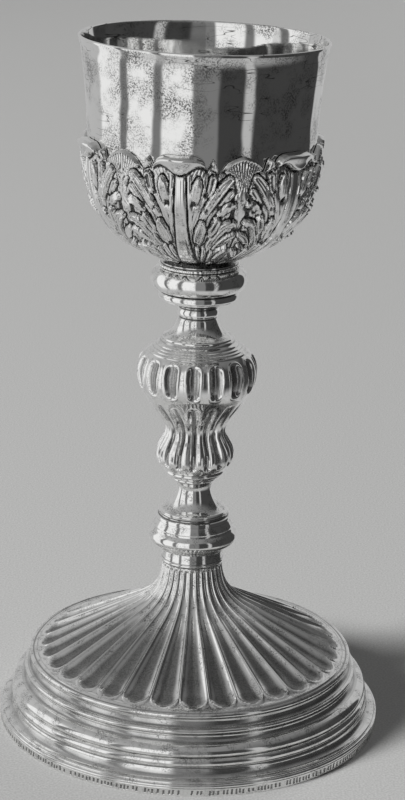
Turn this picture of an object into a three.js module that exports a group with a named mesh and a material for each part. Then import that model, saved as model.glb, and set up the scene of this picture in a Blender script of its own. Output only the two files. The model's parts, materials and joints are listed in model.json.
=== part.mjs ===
// Chalice: a plain raised cup in a leaf-worked calyx, on a turned and fluted stem and a fluted trumpet foot.
// Millimetres, +Z up. The origin is the middle of the circle that the foot stands on.
// The pieces stand on each other face to face, so each one's place is the sum of the heights below it.
import * as THREE from 'three';

// Foot: a moulded flange, a plateau, and a hollow trumpet with spoon-ended flutes.
const FLANGE_RADIUS = 74;
const FLANGE_BAND_HEIGHT = 3.4;
const STANDING_RING_WIDTH = 3.4;
const ROLL_REACH = 69.1;
const ROLL_SIZE = 2.1;
const ROLL_HEIGHT = 10.4;
const OVOLO_DROP = 3.8;
const OVOLO_SETBACK = 3.2;
const FILLET_RADIUS = 64;
const FILLET_TOP = 21.6;
const FILLET_HEIGHT = 1.2;
const PLATEAU_RADIUS = 61.9;
const PLATEAU_HEIGHT = 27.3;
const PLATEAU_BEAD = 1.1;
const TRUMPET_SLOPE = 0.518;
const TRUMPET_BEND_RADIUS = 24.4;
const TRUMPET_NECK_RADIUS = 12;
const FLUTES_TOP = 63.5;
const FOOT_SEAT_RADIUS = 11.5;
const FOOT_HEIGHT = 69.2;
const FOOT_WALL = 1.3;
const FOOT_FLUTES = 32;
const FOOT_FLUTE_DEPTH = 1.7;
const FOOT_FLUTE_END_RADIUS = 58.7;

// Lower collar: a soft fillet, a torus and an upper disc.
const LOWER_COLLAR_HEIGHT = 14.2;
const LOWER_COLLAR_FOOT_RADIUS = 13;
const LOWER_TORUS_REACH = 17.1;
const LOWER_TORUS_SIZE = 2.7;
const LOWER_TORUS_HEIGHT = 5;
const LOWER_DISC_RADIUS = 15.4;
const LOWER_DISC_TOP = 12;

// Lower neck: a rim, a trumpet rise and a slim throat.
const LOWER_NECK_HEIGHT = 14.6;
const LOWER_NECK_RIM_RADIUS = 12.7;
const LOWER_NECK_RIM_HEIGHT = 1.2;
const LOWER_NECK_THROAT_RADIUS = 6.6;
const LOWER_NECK_THROAT_HEIGHT = 9.2;
const LOWER_NECK_TOP_RADIUS = 8.4;

// Knop: vase-shaped, with a ring below, long flutes on the waist and round-headed flutes on the shoulder.
const KNOP_HEIGHT = 54.6;
const KNOP_RING_RADIUS = 11.4;
const KNOP_RING_TOP = 3.9;
const KNOP_BULB_RADIUS = 14.7;
const KNOP_BULB_HEIGHT = 8.9;
const KNOP_WAIST_RADIUS = 11;
const KNOP_WAIST_HEIGHT = 17.6;
const KNOP_BELLY_RADIUS = 22.3;
const KNOP_BELLY_HEIGHT = 39.8;
const KNOP_SHOULDER_RADIUS = 18.1;
const KNOP_SHOULDER_HEIGHT = 50.4;
const KNOP_TOP_RADIUS = 13.5;
const KNOP_FLUTES = 16;
const KNOP_FLUTE_DEPTH = 1.3;

// Upper neck: a spreading skirt, a slim throat and a flared top.
const UPPER_NECK_HEIGHT = 15.4;
const UPPER_NECK_SKIRT_RADIUS = 13.3;
const UPPER_NECK_THROAT_RADIUS = 6.8;
const UPPER_NECK_THROAT_HEIGHT = 9;
const UPPER_NECK_TOP_RADIUS = 13.4;

// Upper collar: a fillet, a torus and a small ring under the calyx.
const UPPER_COLLAR_HEIGHT = 14;
const UPPER_FILLET_RADIUS = 14.8;
const UPPER_FILLET_HEIGHT = 3.3;
const UPPER_TORUS_REACH = 17.9;
const UPPER_TORUS_SIZE = 3.3;
const UPPER_TORUS_HEIGHT = 6.9;
const UPPER_RING_RADIUS = 16.3;
const UPPER_RING_HEIGHT = 3;

// Calyx: a shell that holds the bowl, worked with six broad leaves and six ribbed ones between them.
const CALYX_FLOOR = 2.3;
const CALYX_SEAT_RADIUS = 15.8;
const CALYX_WALL = 0.7;
const CALYX_CLEARANCE = 0.3;
const CALYX_LEAF_HEIGHT = 1.7;
const CALYX_TIP_CURL = 0.9;
const CALYX_SECTORS = 6;
const CALYX_FIRST_LEAF_DEGREES = -10;
const CALYX_TIP_RISE = 46.8;
const CALYX_NOTCH_RISE = 39.9;

// Cup: raised from sheet, with a round bowl, nearly straight sides and a lip that spreads a little.
const BOWL_RADIUS = 41.7;
const BOWL_DEPTH = 38;
const BOWL_FULLNESS = 2.08;
const CUP_BOTTOM_RADIUS = 12;
const LIP_RADIUS = 45.15;
const CUP_HEIGHT = 80.7;
const CUP_WALL = 1.2;

// How finely round work is cut.
const CUP_SEGMENTS = 36;
const NECK_SEGMENTS = 18;
const MOULDING_SEGMENTS = 36;
const FOOT_LINING_SEGMENTS = 20;
const KNOP_PLAIN_SEGMENTS = 20;
const COLUMNS_PER_FLUTE = 4;

// Where each piece starts.
const LOWER_COLLAR_START = FOOT_HEIGHT;
const LOWER_NECK_START = LOWER_COLLAR_START + LOWER_COLLAR_HEIGHT;
const KNOP_START = LOWER_NECK_START + LOWER_NECK_HEIGHT;
const UPPER_NECK_START = KNOP_START + KNOP_HEIGHT;
const UPPER_COLLAR_START = UPPER_NECK_START + UPPER_NECK_HEIGHT;
const CALYX_START = UPPER_COLLAR_START + UPPER_COLLAR_HEIGHT;
const CUP_START = CALYX_START + CALYX_FLOOR;

const FULL_TURN = 2 * Math.PI;

/** A point of a section: distance from the axis, and height. */
function at(radius, height) {
  return new THREE.Vector2(radius, height);
}

/** A round moulding in section, from one angle to another in degrees, 0 being outward and 90 up. */
function roundMoulding(radius, height, size, fromDegrees, toDegrees, steps) {
  return Array.from({ length: steps + 1 }, (unused, step) => {
    const angle = THREE.MathUtils.degToRad(fromDegrees + ((toDegrees - fromDegrees) * step) / steps);
    return at(radius + size * Math.cos(angle), height + size * Math.sin(angle));
  });
}

/** A free curve in section between two points, led by two guide points. */
function sweep(start, guideA, guideB, end, steps) {
  return new THREE.CubicBezierCurve(start, guideA, guideB, end).getPoints(steps);
}

/** Turns the faces of a closed geometry outward. */
function facingOut(geometry) {
  const place = geometry.getAttribute('position');
  const index = geometry.getIndex().array;
  const [a, b, c] = [new THREE.Vector3(), new THREE.Vector3(), new THREE.Vector3()];
  let volume = 0;
  for (let i = 0; i < index.length; i += 3) {
    a.fromBufferAttribute(place, index[i]);
    b.fromBufferAttribute(place, index[i + 1]);
    c.fromBufferAttribute(place, index[i + 2]);
    volume += a.dot(b.cross(c));
  }
  if (volume < 0) {
    index.reverse();
  }
  geometry.computeVertexNormals();
  return geometry;
}

/** A plain turned piece, from a section that starts and ends on the axis. */
function turned(section, segments) {
  const geometry = new THREE.LatheGeometry(section, segments);
  geometry.rotateX(Math.PI / 2);
  return facingOut(geometry);
}

/** A ring of points around the axis; shape gives radius and height at each angle. */
function ringOf(angles, shape) {
  const points = angles.map((angle, column) => {
    const { radius, height } = shape(angle, column);
    return new THREE.Vector3(radius * Math.cos(angle), radius * Math.sin(angle), height);
  });
  return { angles, points };
}

/** Evenly spaced angles around the axis. */
function evenAngles(count) {
  return Array.from({ length: count }, (unused, step) => (FULL_TURN * step) / count);
}

/** A round ring of even points at one section point. */
function roundRing(count, point) {
  return ringOf(evenAngles(count), () => ({ radius: point.x, height: point.y }));
}

/** A single point on the axis that closes an end. */
function axisPoint(height) {
  return ringOf([0], () => ({ radius: 0, height }));
}

/** The angle at which a ring's next point lies, or infinity when the ring is used up. */
function nextAngle(ring, step) {
  const count = ring.points.length;
  if (count === 1 || step >= count) {
    return Infinity;
  }
  return step + 1 < count ? ring.angles[step + 1] : FULL_TURN;
}

/** Joins rings in order into one closed skin, whatever number of points each of them has. */
function skin(rings) {
  const positions = [];
  const index = [];
  const starts = [];
  for (const ring of rings) {
    starts.push(positions.length / 3);
    ring.points.forEach((point) => positions.push(point.x, point.y, point.z));
  }
  for (let k = 0; k + 1 < rings.length; k += 1) {
    const [lower, upper] = [rings[k], rings[k + 1]];
    const vertexOf = (ring, start, step) => start + (step % ring.points.length);
    let i = 0;
    let j = 0;
    while (nextAngle(lower, i) < Infinity || nextAngle(upper, j) < Infinity) {
      const a = vertexOf(lower, starts[k], i);
      const b = vertexOf(upper, starts[k + 1], j);
      if (nextAngle(lower, i) <= nextAngle(upper, j)) {
        i += 1;
        index.push(a, vertexOf(lower, starts[k], i), b);
      } else {
        j += 1;
        index.push(a, vertexOf(upper, starts[k + 1], j), b);
      }
    }
  }
  const geometry = new THREE.BufferGeometry();
  geometry.setAttribute('position', new THREE.Float32BufferAttribute(positions, 3));
  geometry.setIndex(index);
  return facingOut(geometry);
}

/** Names a piece, gives it its silver and sets it at its height. */
function piece(name, geometry, height, colour, roughness) {
  const material = new THREE.MeshStandardMaterial({ color: colour, roughness, metalness: 1 });
  const mesh = new THREE.Mesh(geometry, material);
  mesh.name = name;
  mesh.position.z = height;
  return mesh;
}

/** Moves a section line sideways by a distance, outward of its direction of travel. */
function offsetLine(points, distance) {
  return points.map((point, i) => {
    const before = points[Math.max(i - 1, 0)];
    const after = points[Math.min(i + 1, points.length - 1)];
    const along = after.clone().sub(before).normalize();
    return at(point.x + along.y * distance, point.y - along.x * distance);
  });
}

// The foot

/** Height of the trumpet's straight cone at a radius. */
function trumpetConeHeight(radius) {
  return PLATEAU_HEIGHT + (FOOT_FLUTE_END_RADIUS - radius) * TRUMPET_SLOPE;
}

/** The line of the trumpet from the plateau up to where the flutes begin. */
function trumpetLine() {
  const bend = at(TRUMPET_BEND_RADIUS, trumpetConeHeight(TRUMPET_BEND_RADIUS));
  const reach = TRUMPET_BEND_RADIUS - TRUMPET_NECK_RADIUS;
  const cone = new THREE.LineCurve(at(FOOT_FLUTE_END_RADIUS, trumpetConeHeight(FOOT_FLUTE_END_RADIUS)), bend);
  const rise = new THREE.CubicBezierCurve(
    bend,
    at(bend.x - 0.6 * reach, bend.y + 0.6 * reach * TRUMPET_SLOPE),
    at(TRUMPET_NECK_RADIUS + 0.05 * reach, (bend.y + FLUTES_TOP) / 2),
    at(TRUMPET_NECK_RADIUS, FLUTES_TOP),
  );
  const line = new THREE.CurvePath();
  line.add(cone);
  line.add(rise);
  return line;
}

/** How far a flute's rounded end stays short of its middle's reach, at a share of its width from the middle. */
function spoonSetback(share) {
  const halfWidth = (Math.PI * FOOT_FLUTE_END_RADIUS) / FOOT_FLUTES;
  return halfWidth * (1 - Math.sqrt(Math.max(1 - share * share, 0)));
}

/** The rings of the fluted trumpet, from the plateau upward. */
function fluteRings() {
  const line = trumpetLine();
  const length = line.getLength();
  const stations = [
    { along: 0, depth: 0 },
    { along: 0.05, depth: 0.85 },
    { along: 0.2, depth: 1 },
    { along: 0.5, depth: 0.7 },
    { along: 0.74, depth: 0.34 },
    { along: 1, depth: 0 },
  ];
  const angles = evenAngles(FOOT_FLUTES * COLUMNS_PER_FLUTE);
  return stations.map(({ along, depth }) => ringOf(angles, (angle, column) => {
    const share = Math.abs(((column % COLUMNS_PER_FLUTE) * 2) / COLUMNS_PER_FLUTE - 1);
    const hollow = FOOT_FLUTE_DEPTH * depth * (1 - share ** 2);
    const start = spoonSetback(share) / length;
    const spot = line.getPointAt(start + (1 - start) * along);
    return { radius: spot.x - 0.46 * hollow, height: spot.y - 0.89 * hollow };
  }));
}

/** The mouldings from the standing ring up to the plateau. */
function footMouldings() {
  const rollCentre = ROLL_REACH - ROLL_SIZE;
  const rollTop = ROLL_HEIGHT + ROLL_SIZE;
  return [
    at(FLANGE_RADIUS, 0),
    at(FLANGE_RADIUS, FLANGE_BAND_HEIGHT),
    at((FLANGE_RADIUS + ROLL_REACH) / 2, FLANGE_BAND_HEIGHT + 2.1),
    at(ROLL_REACH + 0.2, ROLL_HEIGHT - ROLL_SIZE - 0.8),
    ...roundMoulding(rollCentre, ROLL_HEIGHT, ROLL_SIZE, -45, 45, 2),
    at(ROLL_REACH - 0.6, rollTop + 0.2),
    at(ROLL_REACH - 0.3 * OVOLO_SETBACK, rollTop + 0.6 * OVOLO_DROP),
    at(ROLL_REACH - 0.5 - OVOLO_SETBACK, rollTop + OVOLO_DROP),
    at(FILLET_RADIUS - 0.4, (rollTop + OVOLO_DROP + FILLET_TOP - FILLET_HEIGHT) / 2),
    at(FILLET_RADIUS, FILLET_TOP - FILLET_HEIGHT),
    at(FILLET_RADIUS, FILLET_TOP),
    at(PLATEAU_RADIUS - 0.2, FILLET_TOP + 1.5),
    at(PLATEAU_RADIUS + 0.4, PLATEAU_HEIGHT - PLATEAU_BEAD),
    at(PLATEAU_RADIUS - 0.3, PLATEAU_HEIGHT),
  ];
}

/** The hollow underside, from its crown down to the standing ring. */
function footLining() {
  const drop = FOOT_WALL + FOOT_FLUTE_DEPTH;
  const bendHeight = trumpetConeHeight(TRUMPET_BEND_RADIUS);
  const ringInside = FLANGE_RADIUS - STANDING_RING_WIDTH;
  const steep = Math.hypot(1, TRUMPET_SLOPE);
  return [
    at(FOOT_SEAT_RADIUS - 2 * FOOT_WALL, FLUTES_TOP - FOOT_WALL),
    at(TRUMPET_NECK_RADIUS - 2 * FOOT_WALL, (FLUTES_TOP + bendHeight) / 2),
    at(TRUMPET_BEND_RADIUS - drop, bendHeight - 0.4 * drop),
    at(FOOT_FLUTE_END_RADIUS - drop, trumpetConeHeight(FOOT_FLUTE_END_RADIUS - drop) - drop * steep),
    at(PLATEAU_RADIUS - 2 * FOOT_WALL, FILLET_TOP - FILLET_HEIGHT),
    at(FILLET_RADIUS - 2 * FOOT_WALL, ROLL_HEIGHT + ROLL_SIZE),
    at(ROLL_REACH - ROLL_SIZE - 2 * FOOT_WALL, ROLL_HEIGHT - ROLL_SIZE),
    at(ringInside, FLANGE_BAND_HEIGHT - FOOT_WALL),
    at(ringInside, 0),
  ];
}

function footGeometry() {
  const seat = at(FOOT_SEAT_RADIUS, FOOT_HEIGHT);
  const [crown, ...lining] = footLining();
  return skin([
    axisPoint(crown.y + FOOT_WALL / 2),
    roundRing(NECK_SEGMENTS, crown),
    ...lining.map((point) => roundRing(FOOT_LINING_SEGMENTS, point)),
    ...footMouldings().map((point) => roundRing(MOULDING_SEGMENTS, point)),
    ...fluteRings(),
    roundRing(NECK_SEGMENTS, at(FOOT_SEAT_RADIUS, FLUTES_TOP + 1)),
    roundRing(NECK_SEGMENTS, seat),
    axisPoint(FOOT_HEIGHT),
  ]);
}

// The stem's plain turned pieces

function lowerCollarGeometry() {
  const torusCentre = LOWER_TORUS_REACH - LOWER_TORUS_SIZE;
  return turned([
    at(0, 0),
    at(LOWER_COLLAR_FOOT_RADIUS, 0),
    at(LOWER_COLLAR_FOOT_RADIUS + 1.4, LOWER_TORUS_HEIGHT - LOWER_TORUS_SIZE - 0.6),
    ...roundMoulding(torusCentre, LOWER_TORUS_HEIGHT, LOWER_TORUS_SIZE, -65, 65, 3),
    at(LOWER_DISC_RADIUS - 0.4, LOWER_TORUS_HEIGHT + LOWER_TORUS_SIZE),
    at(LOWER_DISC_RADIUS, LOWER_DISC_TOP - 1.6),
    at(LOWER_DISC_RADIUS - 0.7, LOWER_DISC_TOP),
    at(LOWER_NECK_RIM_RADIUS + 0.9, LOWER_COLLAR_HEIGHT),
    at(0, LOWER_COLLAR_HEIGHT),
  ], NECK_SEGMENTS);
}

function lowerNeckGeometry() {
  const rim = at(LOWER_NECK_RIM_RADIUS - 1.2, LOWER_NECK_RIM_HEIGHT);
  const throat = at(LOWER_NECK_THROAT_RADIUS, LOWER_NECK_THROAT_HEIGHT);
  return turned([
    at(0, 0),
    at(LOWER_NECK_RIM_RADIUS, 0),
    at(LOWER_NECK_RIM_RADIUS, LOWER_NECK_RIM_HEIGHT / 2),
    ...sweep(rim, at(rim.x - 2.6, rim.y + 2.4), at(throat.x + 0.5, throat.y - 3.4), throat, 4),
    at((throat.x + LOWER_NECK_TOP_RADIUS) / 2 - 0.2, (throat.y + LOWER_NECK_HEIGHT) / 2),
    at(LOWER_NECK_TOP_RADIUS, LOWER_NECK_HEIGHT),
    at(0, LOWER_NECK_HEIGHT),
  ], NECK_SEGMENTS);
}

function upperNeckGeometry() {
  const throat = at(UPPER_NECK_THROAT_RADIUS, UPPER_NECK_THROAT_HEIGHT);
  const skirt = at(UPPER_NECK_SKIRT_RADIUS, 0);
  const top = at(UPPER_NECK_TOP_RADIUS, UPPER_NECK_HEIGHT - 0.8);
  return turned([
    at(0, 0),
    ...sweep(skirt, at(skirt.x - 3.6, 1.2), at(throat.x + 1, throat.y - 5), throat, 4),
    ...sweep(throat, at(throat.x, throat.y + 1.6), at(top.x - 4.6, top.y - 2.6), top, 3).slice(1),
    at(UPPER_NECK_TOP_RADIUS, UPPER_NECK_HEIGHT),
    at(0, UPPER_NECK_HEIGHT),
  ], NECK_SEGMENTS);
}

function upperCollarGeometry() {
  const torusCentre = UPPER_TORUS_REACH - UPPER_TORUS_SIZE;
  const ringStart = UPPER_COLLAR_HEIGHT - UPPER_RING_HEIGHT;
  return turned([
    at(0, 0),
    at(UPPER_FILLET_RADIUS - 0.6, 0),
    at(UPPER_FILLET_RADIUS, UPPER_FILLET_HEIGHT - 0.4),
    ...roundMoulding(torusCentre, UPPER_TORUS_HEIGHT, UPPER_TORUS_SIZE, -70, 70, 3),
    at(UPPER_RING_RADIUS - 0.6, ringStart - 0.4),
    at(UPPER_RING_RADIUS, ringStart + 0.6),
    at(UPPER_RING_RADIUS - 0.9, UPPER_COLLAR_HEIGHT),
    at(0, UPPER_COLLAR_HEIGHT),
  ], NECK_SEGMENTS);
}

// The knop

/** Stations up the knop where it is fluted: section point and depth of the flutes as a share of the full depth. */
function knopStations() {
  const rise = (share) => THREE.MathUtils.lerp(KNOP_WAIST_HEIGHT, KNOP_BELLY_HEIGHT, share);
  const swell = (share) => THREE.MathUtils.lerp(KNOP_WAIST_RADIUS, KNOP_BELLY_RADIUS, share);
  const bulbStart = (KNOP_RING_TOP + KNOP_BULB_HEIGHT) / 2;
  const fall = (share) => THREE.MathUtils.lerp(KNOP_BULB_HEIGHT, KNOP_WAIST_HEIGHT, share);
  return [
    { point: at(KNOP_RING_RADIUS + 1.4, KNOP_RING_TOP + 0.9), depth: 0 },
    { point: at(KNOP_BULB_RADIUS - 0.5, bulbStart), depth: 0.8 },
    { point: at(KNOP_BULB_RADIUS, KNOP_BULB_HEIGHT), depth: 1 },
    { point: at((KNOP_BULB_RADIUS + KNOP_WAIST_RADIUS) / 2, fall(0.5)), depth: 1 },
    { point: at(KNOP_WAIST_RADIUS, KNOP_WAIST_HEIGHT), depth: 0.85 },
    { point: at(swell(0.17), rise(0.2)), depth: 0.9 },
    { point: at(swell(0.56), rise(0.5)), depth: 0.6 },
    { point: at(swell(0.88), rise(0.78)), depth: 0 },
    { point: at(KNOP_BELLY_RADIUS, KNOP_BELLY_HEIGHT + 0.8), depth: 0.8 },
    { point: at(KNOP_BELLY_RADIUS - 1.3, (KNOP_BELLY_HEIGHT + KNOP_SHOULDER_HEIGHT) / 2 + 1), depth: 0.9 },
    { point: at(KNOP_SHOULDER_RADIUS + 1, KNOP_SHOULDER_HEIGHT - 1.6), depth: 0 },
  ];
}

function knopGeometry() {
  const fluted = knopStations().map(({ point, depth }) => (
    ringOf(evenAngles(KNOP_FLUTES * COLUMNS_PER_FLUTE), (angle, column) => {
      const share = Math.abs(((column % COLUMNS_PER_FLUTE) * 2) / COLUMNS_PER_FLUTE - 1);
      return { radius: point.x - KNOP_FLUTE_DEPTH * depth * (1 - share ** 2), height: point.y };
    })
  ));
  const plain = (radius, height) => roundRing(KNOP_PLAIN_SEGMENTS, at(radius, height));
  return skin([
    axisPoint(0),
    plain(LOWER_NECK_TOP_RADIUS + 0.4, 0),
    plain(KNOP_RING_RADIUS - 0.6, 1.6),
    plain(KNOP_RING_RADIUS, KNOP_RING_TOP - 1.1),
    plain(KNOP_RING_RADIUS - 0.5, KNOP_RING_TOP),
    ...fluted,
    plain(KNOP_SHOULDER_RADIUS, KNOP_SHOULDER_HEIGHT),
    plain(KNOP_SHOULDER_RADIUS - 0.3, KNOP_SHOULDER_HEIGHT + 0.9),
    plain((KNOP_SHOULDER_RADIUS + KNOP_TOP_RADIUS) / 2 - 0.5, (KNOP_SHOULDER_HEIGHT + KNOP_HEIGHT) / 2),
    plain(KNOP_TOP_RADIUS, KNOP_HEIGHT),
    axisPoint(KNOP_HEIGHT),
  ]);
}

// The cup and its calyx

/** The outside of the bowl, from its flat bottom to its widest, as heights above the cup's bottom. */
function bowlLine(steps) {
  const heightAt = (radius) => BOWL_DEPTH * (1 - (1 - (radius / BOWL_RADIUS) ** BOWL_FULLNESS) ** (1 / BOWL_FULLNESS));
  const lift = heightAt(CUP_BOTTOM_RADIUS);
  const start = (CUP_BOTTOM_RADIUS / BOWL_RADIUS) ** (BOWL_FULLNESS / 2);
  return Array.from({ length: steps + 1 }, (unused, step) => {
    const angle = THREE.MathUtils.lerp(Math.asin(start), Math.PI / 2, step / steps);
    const radius = BOWL_RADIUS * Math.sin(angle) ** (2 / BOWL_FULLNESS);
    return at(radius, Math.max(heightAt(radius) - lift, 0));
  });
}

/** The outside of the cup's sides, from the bowl's widest to the lip. */
function sideLine(steps) {
  const start = bowlLine(1)[1];
  const end = at(LIP_RADIUS, CUP_HEIGHT);
  const rise = end.y - start.y;
  const spread = LIP_RADIUS - BOWL_RADIUS;
  return sweep(
    start,
    at(start.x, start.y + rise / 3),
    at(start.x + spread / 2, end.y - rise / 4),
    end,
    steps,
  );
}

const BOWL_STEPS = 4;

function cupGeometry() {
  const outside = [...bowlLine(BOWL_STEPS), ...sideLine(3).slice(1)];
  const inside = offsetLine([...bowlLine(BOWL_STEPS), ...sideLine(2).slice(1)], -CUP_WALL).reverse();
  const lip = outside[outside.length - 1];
  return turned([
    at(0, 0),
    ...outside,
    at(lip.x - CUP_WALL, lip.y),
    ...inside.slice(1, -1),
    at(CUP_BOTTOM_RADIUS - CUP_WALL, CUP_WALL),
    at(0, CUP_WALL),
  ], CUP_SEGMENTS);
}

/**
 * The leaf work across half a sector, from the broad leaf's rib at 0 to the ribbed leaf's at 1: how far the top
 * edge falls from the tips to the notches, how high the lobes stand there and how high the plain leaf does.
 */
const LEAF_COLUMNS = [
  { share: 0, drop: 0, lobes: 0, leaf: 1 },
  { share: 0.09, drop: 0.02, lobes: 0, leaf: 0.9 },
  { share: 0.16, drop: 0.05, lobes: 0.2, leaf: 0.1 },
  { share: 0.33, drop: 0.2, lobes: 0.95, leaf: 0.05 },
  { share: 0.41, drop: 0.95, lobes: 0.25, leaf: 0 },
  { share: 0.5, drop: 0.35, lobes: 0.8, leaf: 0 },
  { share: 0.62, drop: 1, lobes: 0.1, leaf: 0 },
  { share: 0.8, drop: 0.5, lobes: 0, leaf: 0.35 },
  { share: 1, drop: 0.03, lobes: 0, leaf: 0.6 },
];

/** Rows of the leaf work, as shares of the calyx's height, in pairs where a tier of lobes ends. */
const LEAF_ROWS = [0.08, 0.2, 0.3, 0.34, 0.45, 0.5, 0.54, 0.7, 0.83, 0.88, 1];
const LOBE_TIPS = [0.3, 0.5, 0.83];

/** The angles of every column of the leaf work around the axis. */
function leafAngles() {
  const half = Math.PI / CALYX_SECTORS;
  const across = LEAF_COLUMNS.map(({ share }) => share);
  const shares = [...across, ...across.slice(1, -1).reverse().map((share) => 2 - share)];
  const angles = [];
  for (let sector = 0; sector < CALYX_SECTORS; sector += 1) {
    shares.forEach((share) => angles.push(half * (2 * sector + share)));
  }
  return angles;
}

/** Share across the half sector at an angle: 0 on a broad leaf's rib and 1 on a ribbed leaf's. */
function leafShare(angle) {
  const half = Math.PI / CALYX_SECTORS;
  const along = (angle / half) % 2;
  return along <= 1 ? along : 2 - along;
}

/** One of the measures in LEAF_COLUMNS at a share across the half sector. */
function acrossLeaf(share, measure) {
  const next = Math.max(LEAF_COLUMNS.findIndex((column) => column.share >= share - 1e-9), 1);
  const [from, to] = [LEAF_COLUMNS[next - 1], LEAF_COLUMNS[next]];
  return THREE.MathUtils.mapLinear(share, from.share, to.share, from[measure], to[measure]);
}

/** Height of the calyx's top edge above its seat: two kinds of leaf tips with a small one between. */
function leafTop(share) {
  return THREE.MathUtils.lerp(CALYX_TIP_RISE, CALYX_NOTCH_RISE, acrossLeaf(share, 'drop'));
}

/** Height of a tier of lobes at a share up the calyx: full at a tip, sinking below it, and none above the last. */
function lobeSwell(up) {
  const tip = LOBE_TIPS.find((height) => height >= up - 1e-9);
  return tip === undefined ? 0 : Math.max(1 - 4 * (tip - up), 0.15);
}

/** Relief of the leaves, 0 to 1, at a share across the half sector and a share up the calyx. */
function leafRelief(share, up) {
  return Math.max(acrossLeaf(share, 'leaf'), acrossLeaf(share, 'lobes') * lobeSwell(up));
}

/** Radius of a section line at a height. */
function radiusAt(line, height) {
  const next = Math.max(line.findIndex((point) => point.y >= height), 1);
  const [from, to] = [line[next - 1], line[next]];
  return THREE.MathUtils.mapLinear(height, from.y, to.y, from.x, to.x);
}

/** The outside of the cup as the calyx sees it, with heights above the calyx's seat. */
function cupInCalyx(bowlSteps) {
  return [...bowlLine(bowlSteps), ...sideLine(6).slice(1)].map((point) => at(point.x, point.y + CALYX_FLOOR));
}

function calyxGeometry() {
  const nest = offsetLine(cupInCalyx(BOWL_STEPS), CALYX_CLEARANCE);
  const ground = offsetLine(cupInCalyx(3 * BOWL_STEPS), CALYX_CLEARANCE + CALYX_WALL);
  const angles = leafAngles();
  const outer = LEAF_ROWS.map((up) => ringOf(angles, (angle) => {
    const share = leafShare(angle);
    const height = up * leafTop(share);
    const run = radiusAt(ground, height + 0.5) - radiusAt(ground, height - 0.5);
    const swelling = THREE.MathUtils.lerp(0.35, 1, THREE.MathUtils.smoothstep(up, 0, 0.7));
    const relief = CALYX_LEAF_HEIGHT * swelling * leafRelief(share, up) * Math.hypot(1, run);
    const curl = share < 0.4 && up === 1 ? CALYX_TIP_CURL : 0;
    return { radius: radiusAt(ground, height) + relief + curl, height };
  }));
  const edge = ringOf(angles, (angle) => {
    const height = leafTop(leafShare(angle));
    return { radius: radiusAt(nest, height), height };
  });
  const inner = nest.filter((point) => point.y < CALYX_NOTCH_RISE - CALYX_CLEARANCE).reverse();
  const geometry = skin([
    axisPoint(0),
    roundRing(CUP_SEGMENTS, at(CALYX_SEAT_RADIUS, 0)),
    ...outer,
    edge,
    ...inner.slice(0, -1).map((point) => roundRing(CUP_SEGMENTS, point)),
    roundRing(CUP_SEGMENTS, at(CUP_BOTTOM_RADIUS + CALYX_CLEARANCE, CALYX_FLOOR)),
    axisPoint(CALYX_FLOOR),
  ]);
  geometry.rotateZ(THREE.MathUtils.degToRad(CALYX_FIRST_LEAF_DEGREES) - Math.PI / 2);
  return geometry;
}

const chalice = new THREE.Group();
chalice.add(piece('foot', footGeometry(), 0, 0x9b9b9a, 0.32));
chalice.add(piece('lower_collar', lowerCollarGeometry(), LOWER_COLLAR_START, 0xa3a3a2, 0.28));
chalice.add(piece('lower_neck', lowerNeckGeometry(), LOWER_NECK_START, 0xa3a3a2, 0.28));
chalice.add(piece('knop', knopGeometry(), KNOP_START, 0x9f9f9e, 0.3));
chalice.add(piece('upper_neck', upperNeckGeometry(), UPPER_NECK_START, 0xa3a3a2, 0.28));
chalice.add(piece('upper_collar', upperCollarGeometry(), UPPER_COLLAR_START, 0xa3a3a2, 0.28));
chalice.add(piece('calyx', calyxGeometry(), CALYX_START, 0x8f8f8e, 0.38));
chalice.add(piece('cup', cupGeometry(), CUP_START, 0xa8a8a7, 0.24));

export default chalice;
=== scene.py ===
"""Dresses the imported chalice: worked silver with its relief, wear and tarnish, a pale floor and studio light.

Measures are in millimetres, as a silversmith reads them, and turn to metres when a mesh is made.
Angles around the axis start at the front of the cup and grow to the right, as seen from the front.
"""
import json
import logging
import math
from dataclasses import dataclass, field
from enum import Enum
from typing import Callable, Sequence

import bpy
import numpy as np
from mathutils import Matrix, Vector

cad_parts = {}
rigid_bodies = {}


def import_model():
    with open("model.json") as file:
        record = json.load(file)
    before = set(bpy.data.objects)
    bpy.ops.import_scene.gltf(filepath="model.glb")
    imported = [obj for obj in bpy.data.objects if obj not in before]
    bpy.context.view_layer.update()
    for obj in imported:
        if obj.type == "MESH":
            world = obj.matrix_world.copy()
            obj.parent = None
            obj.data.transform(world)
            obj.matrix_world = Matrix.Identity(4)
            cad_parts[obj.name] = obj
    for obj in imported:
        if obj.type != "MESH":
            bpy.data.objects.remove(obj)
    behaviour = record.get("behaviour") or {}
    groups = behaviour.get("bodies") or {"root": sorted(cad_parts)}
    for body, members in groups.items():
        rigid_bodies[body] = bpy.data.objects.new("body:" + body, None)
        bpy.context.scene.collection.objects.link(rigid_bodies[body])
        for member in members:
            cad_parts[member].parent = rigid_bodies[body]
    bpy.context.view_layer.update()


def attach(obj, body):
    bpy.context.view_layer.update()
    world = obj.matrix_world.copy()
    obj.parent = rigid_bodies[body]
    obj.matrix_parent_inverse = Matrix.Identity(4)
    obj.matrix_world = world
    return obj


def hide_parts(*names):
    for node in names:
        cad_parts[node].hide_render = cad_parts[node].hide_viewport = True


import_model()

log = logging.getLogger("chalice")

Array = np.ndarray
Tree = bpy.types.NodeTree
Socket = bpy.types.NodeSocket
Point = tuple[float, float]
Colour = tuple[float, float, float, float]

MM = 0.001
SEED = 1720
# How much lower the right side of the cup lies, for each mm from the axis, and how far the whole lip comes down.
SIDE_DROP = 0.014
LIP_DROP = 0.67
# Widths in mm of the tarnish's specks and of the hammer's dents.
SPECK = 0.55
DENT = 14


# Shared shape work


def run_length(line: Array) -> Array:
    """How far along a line each of its points lies."""
    return np.r_[0, np.cumsum(np.hypot(*np.diff(line, axis=0).T))]


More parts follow.
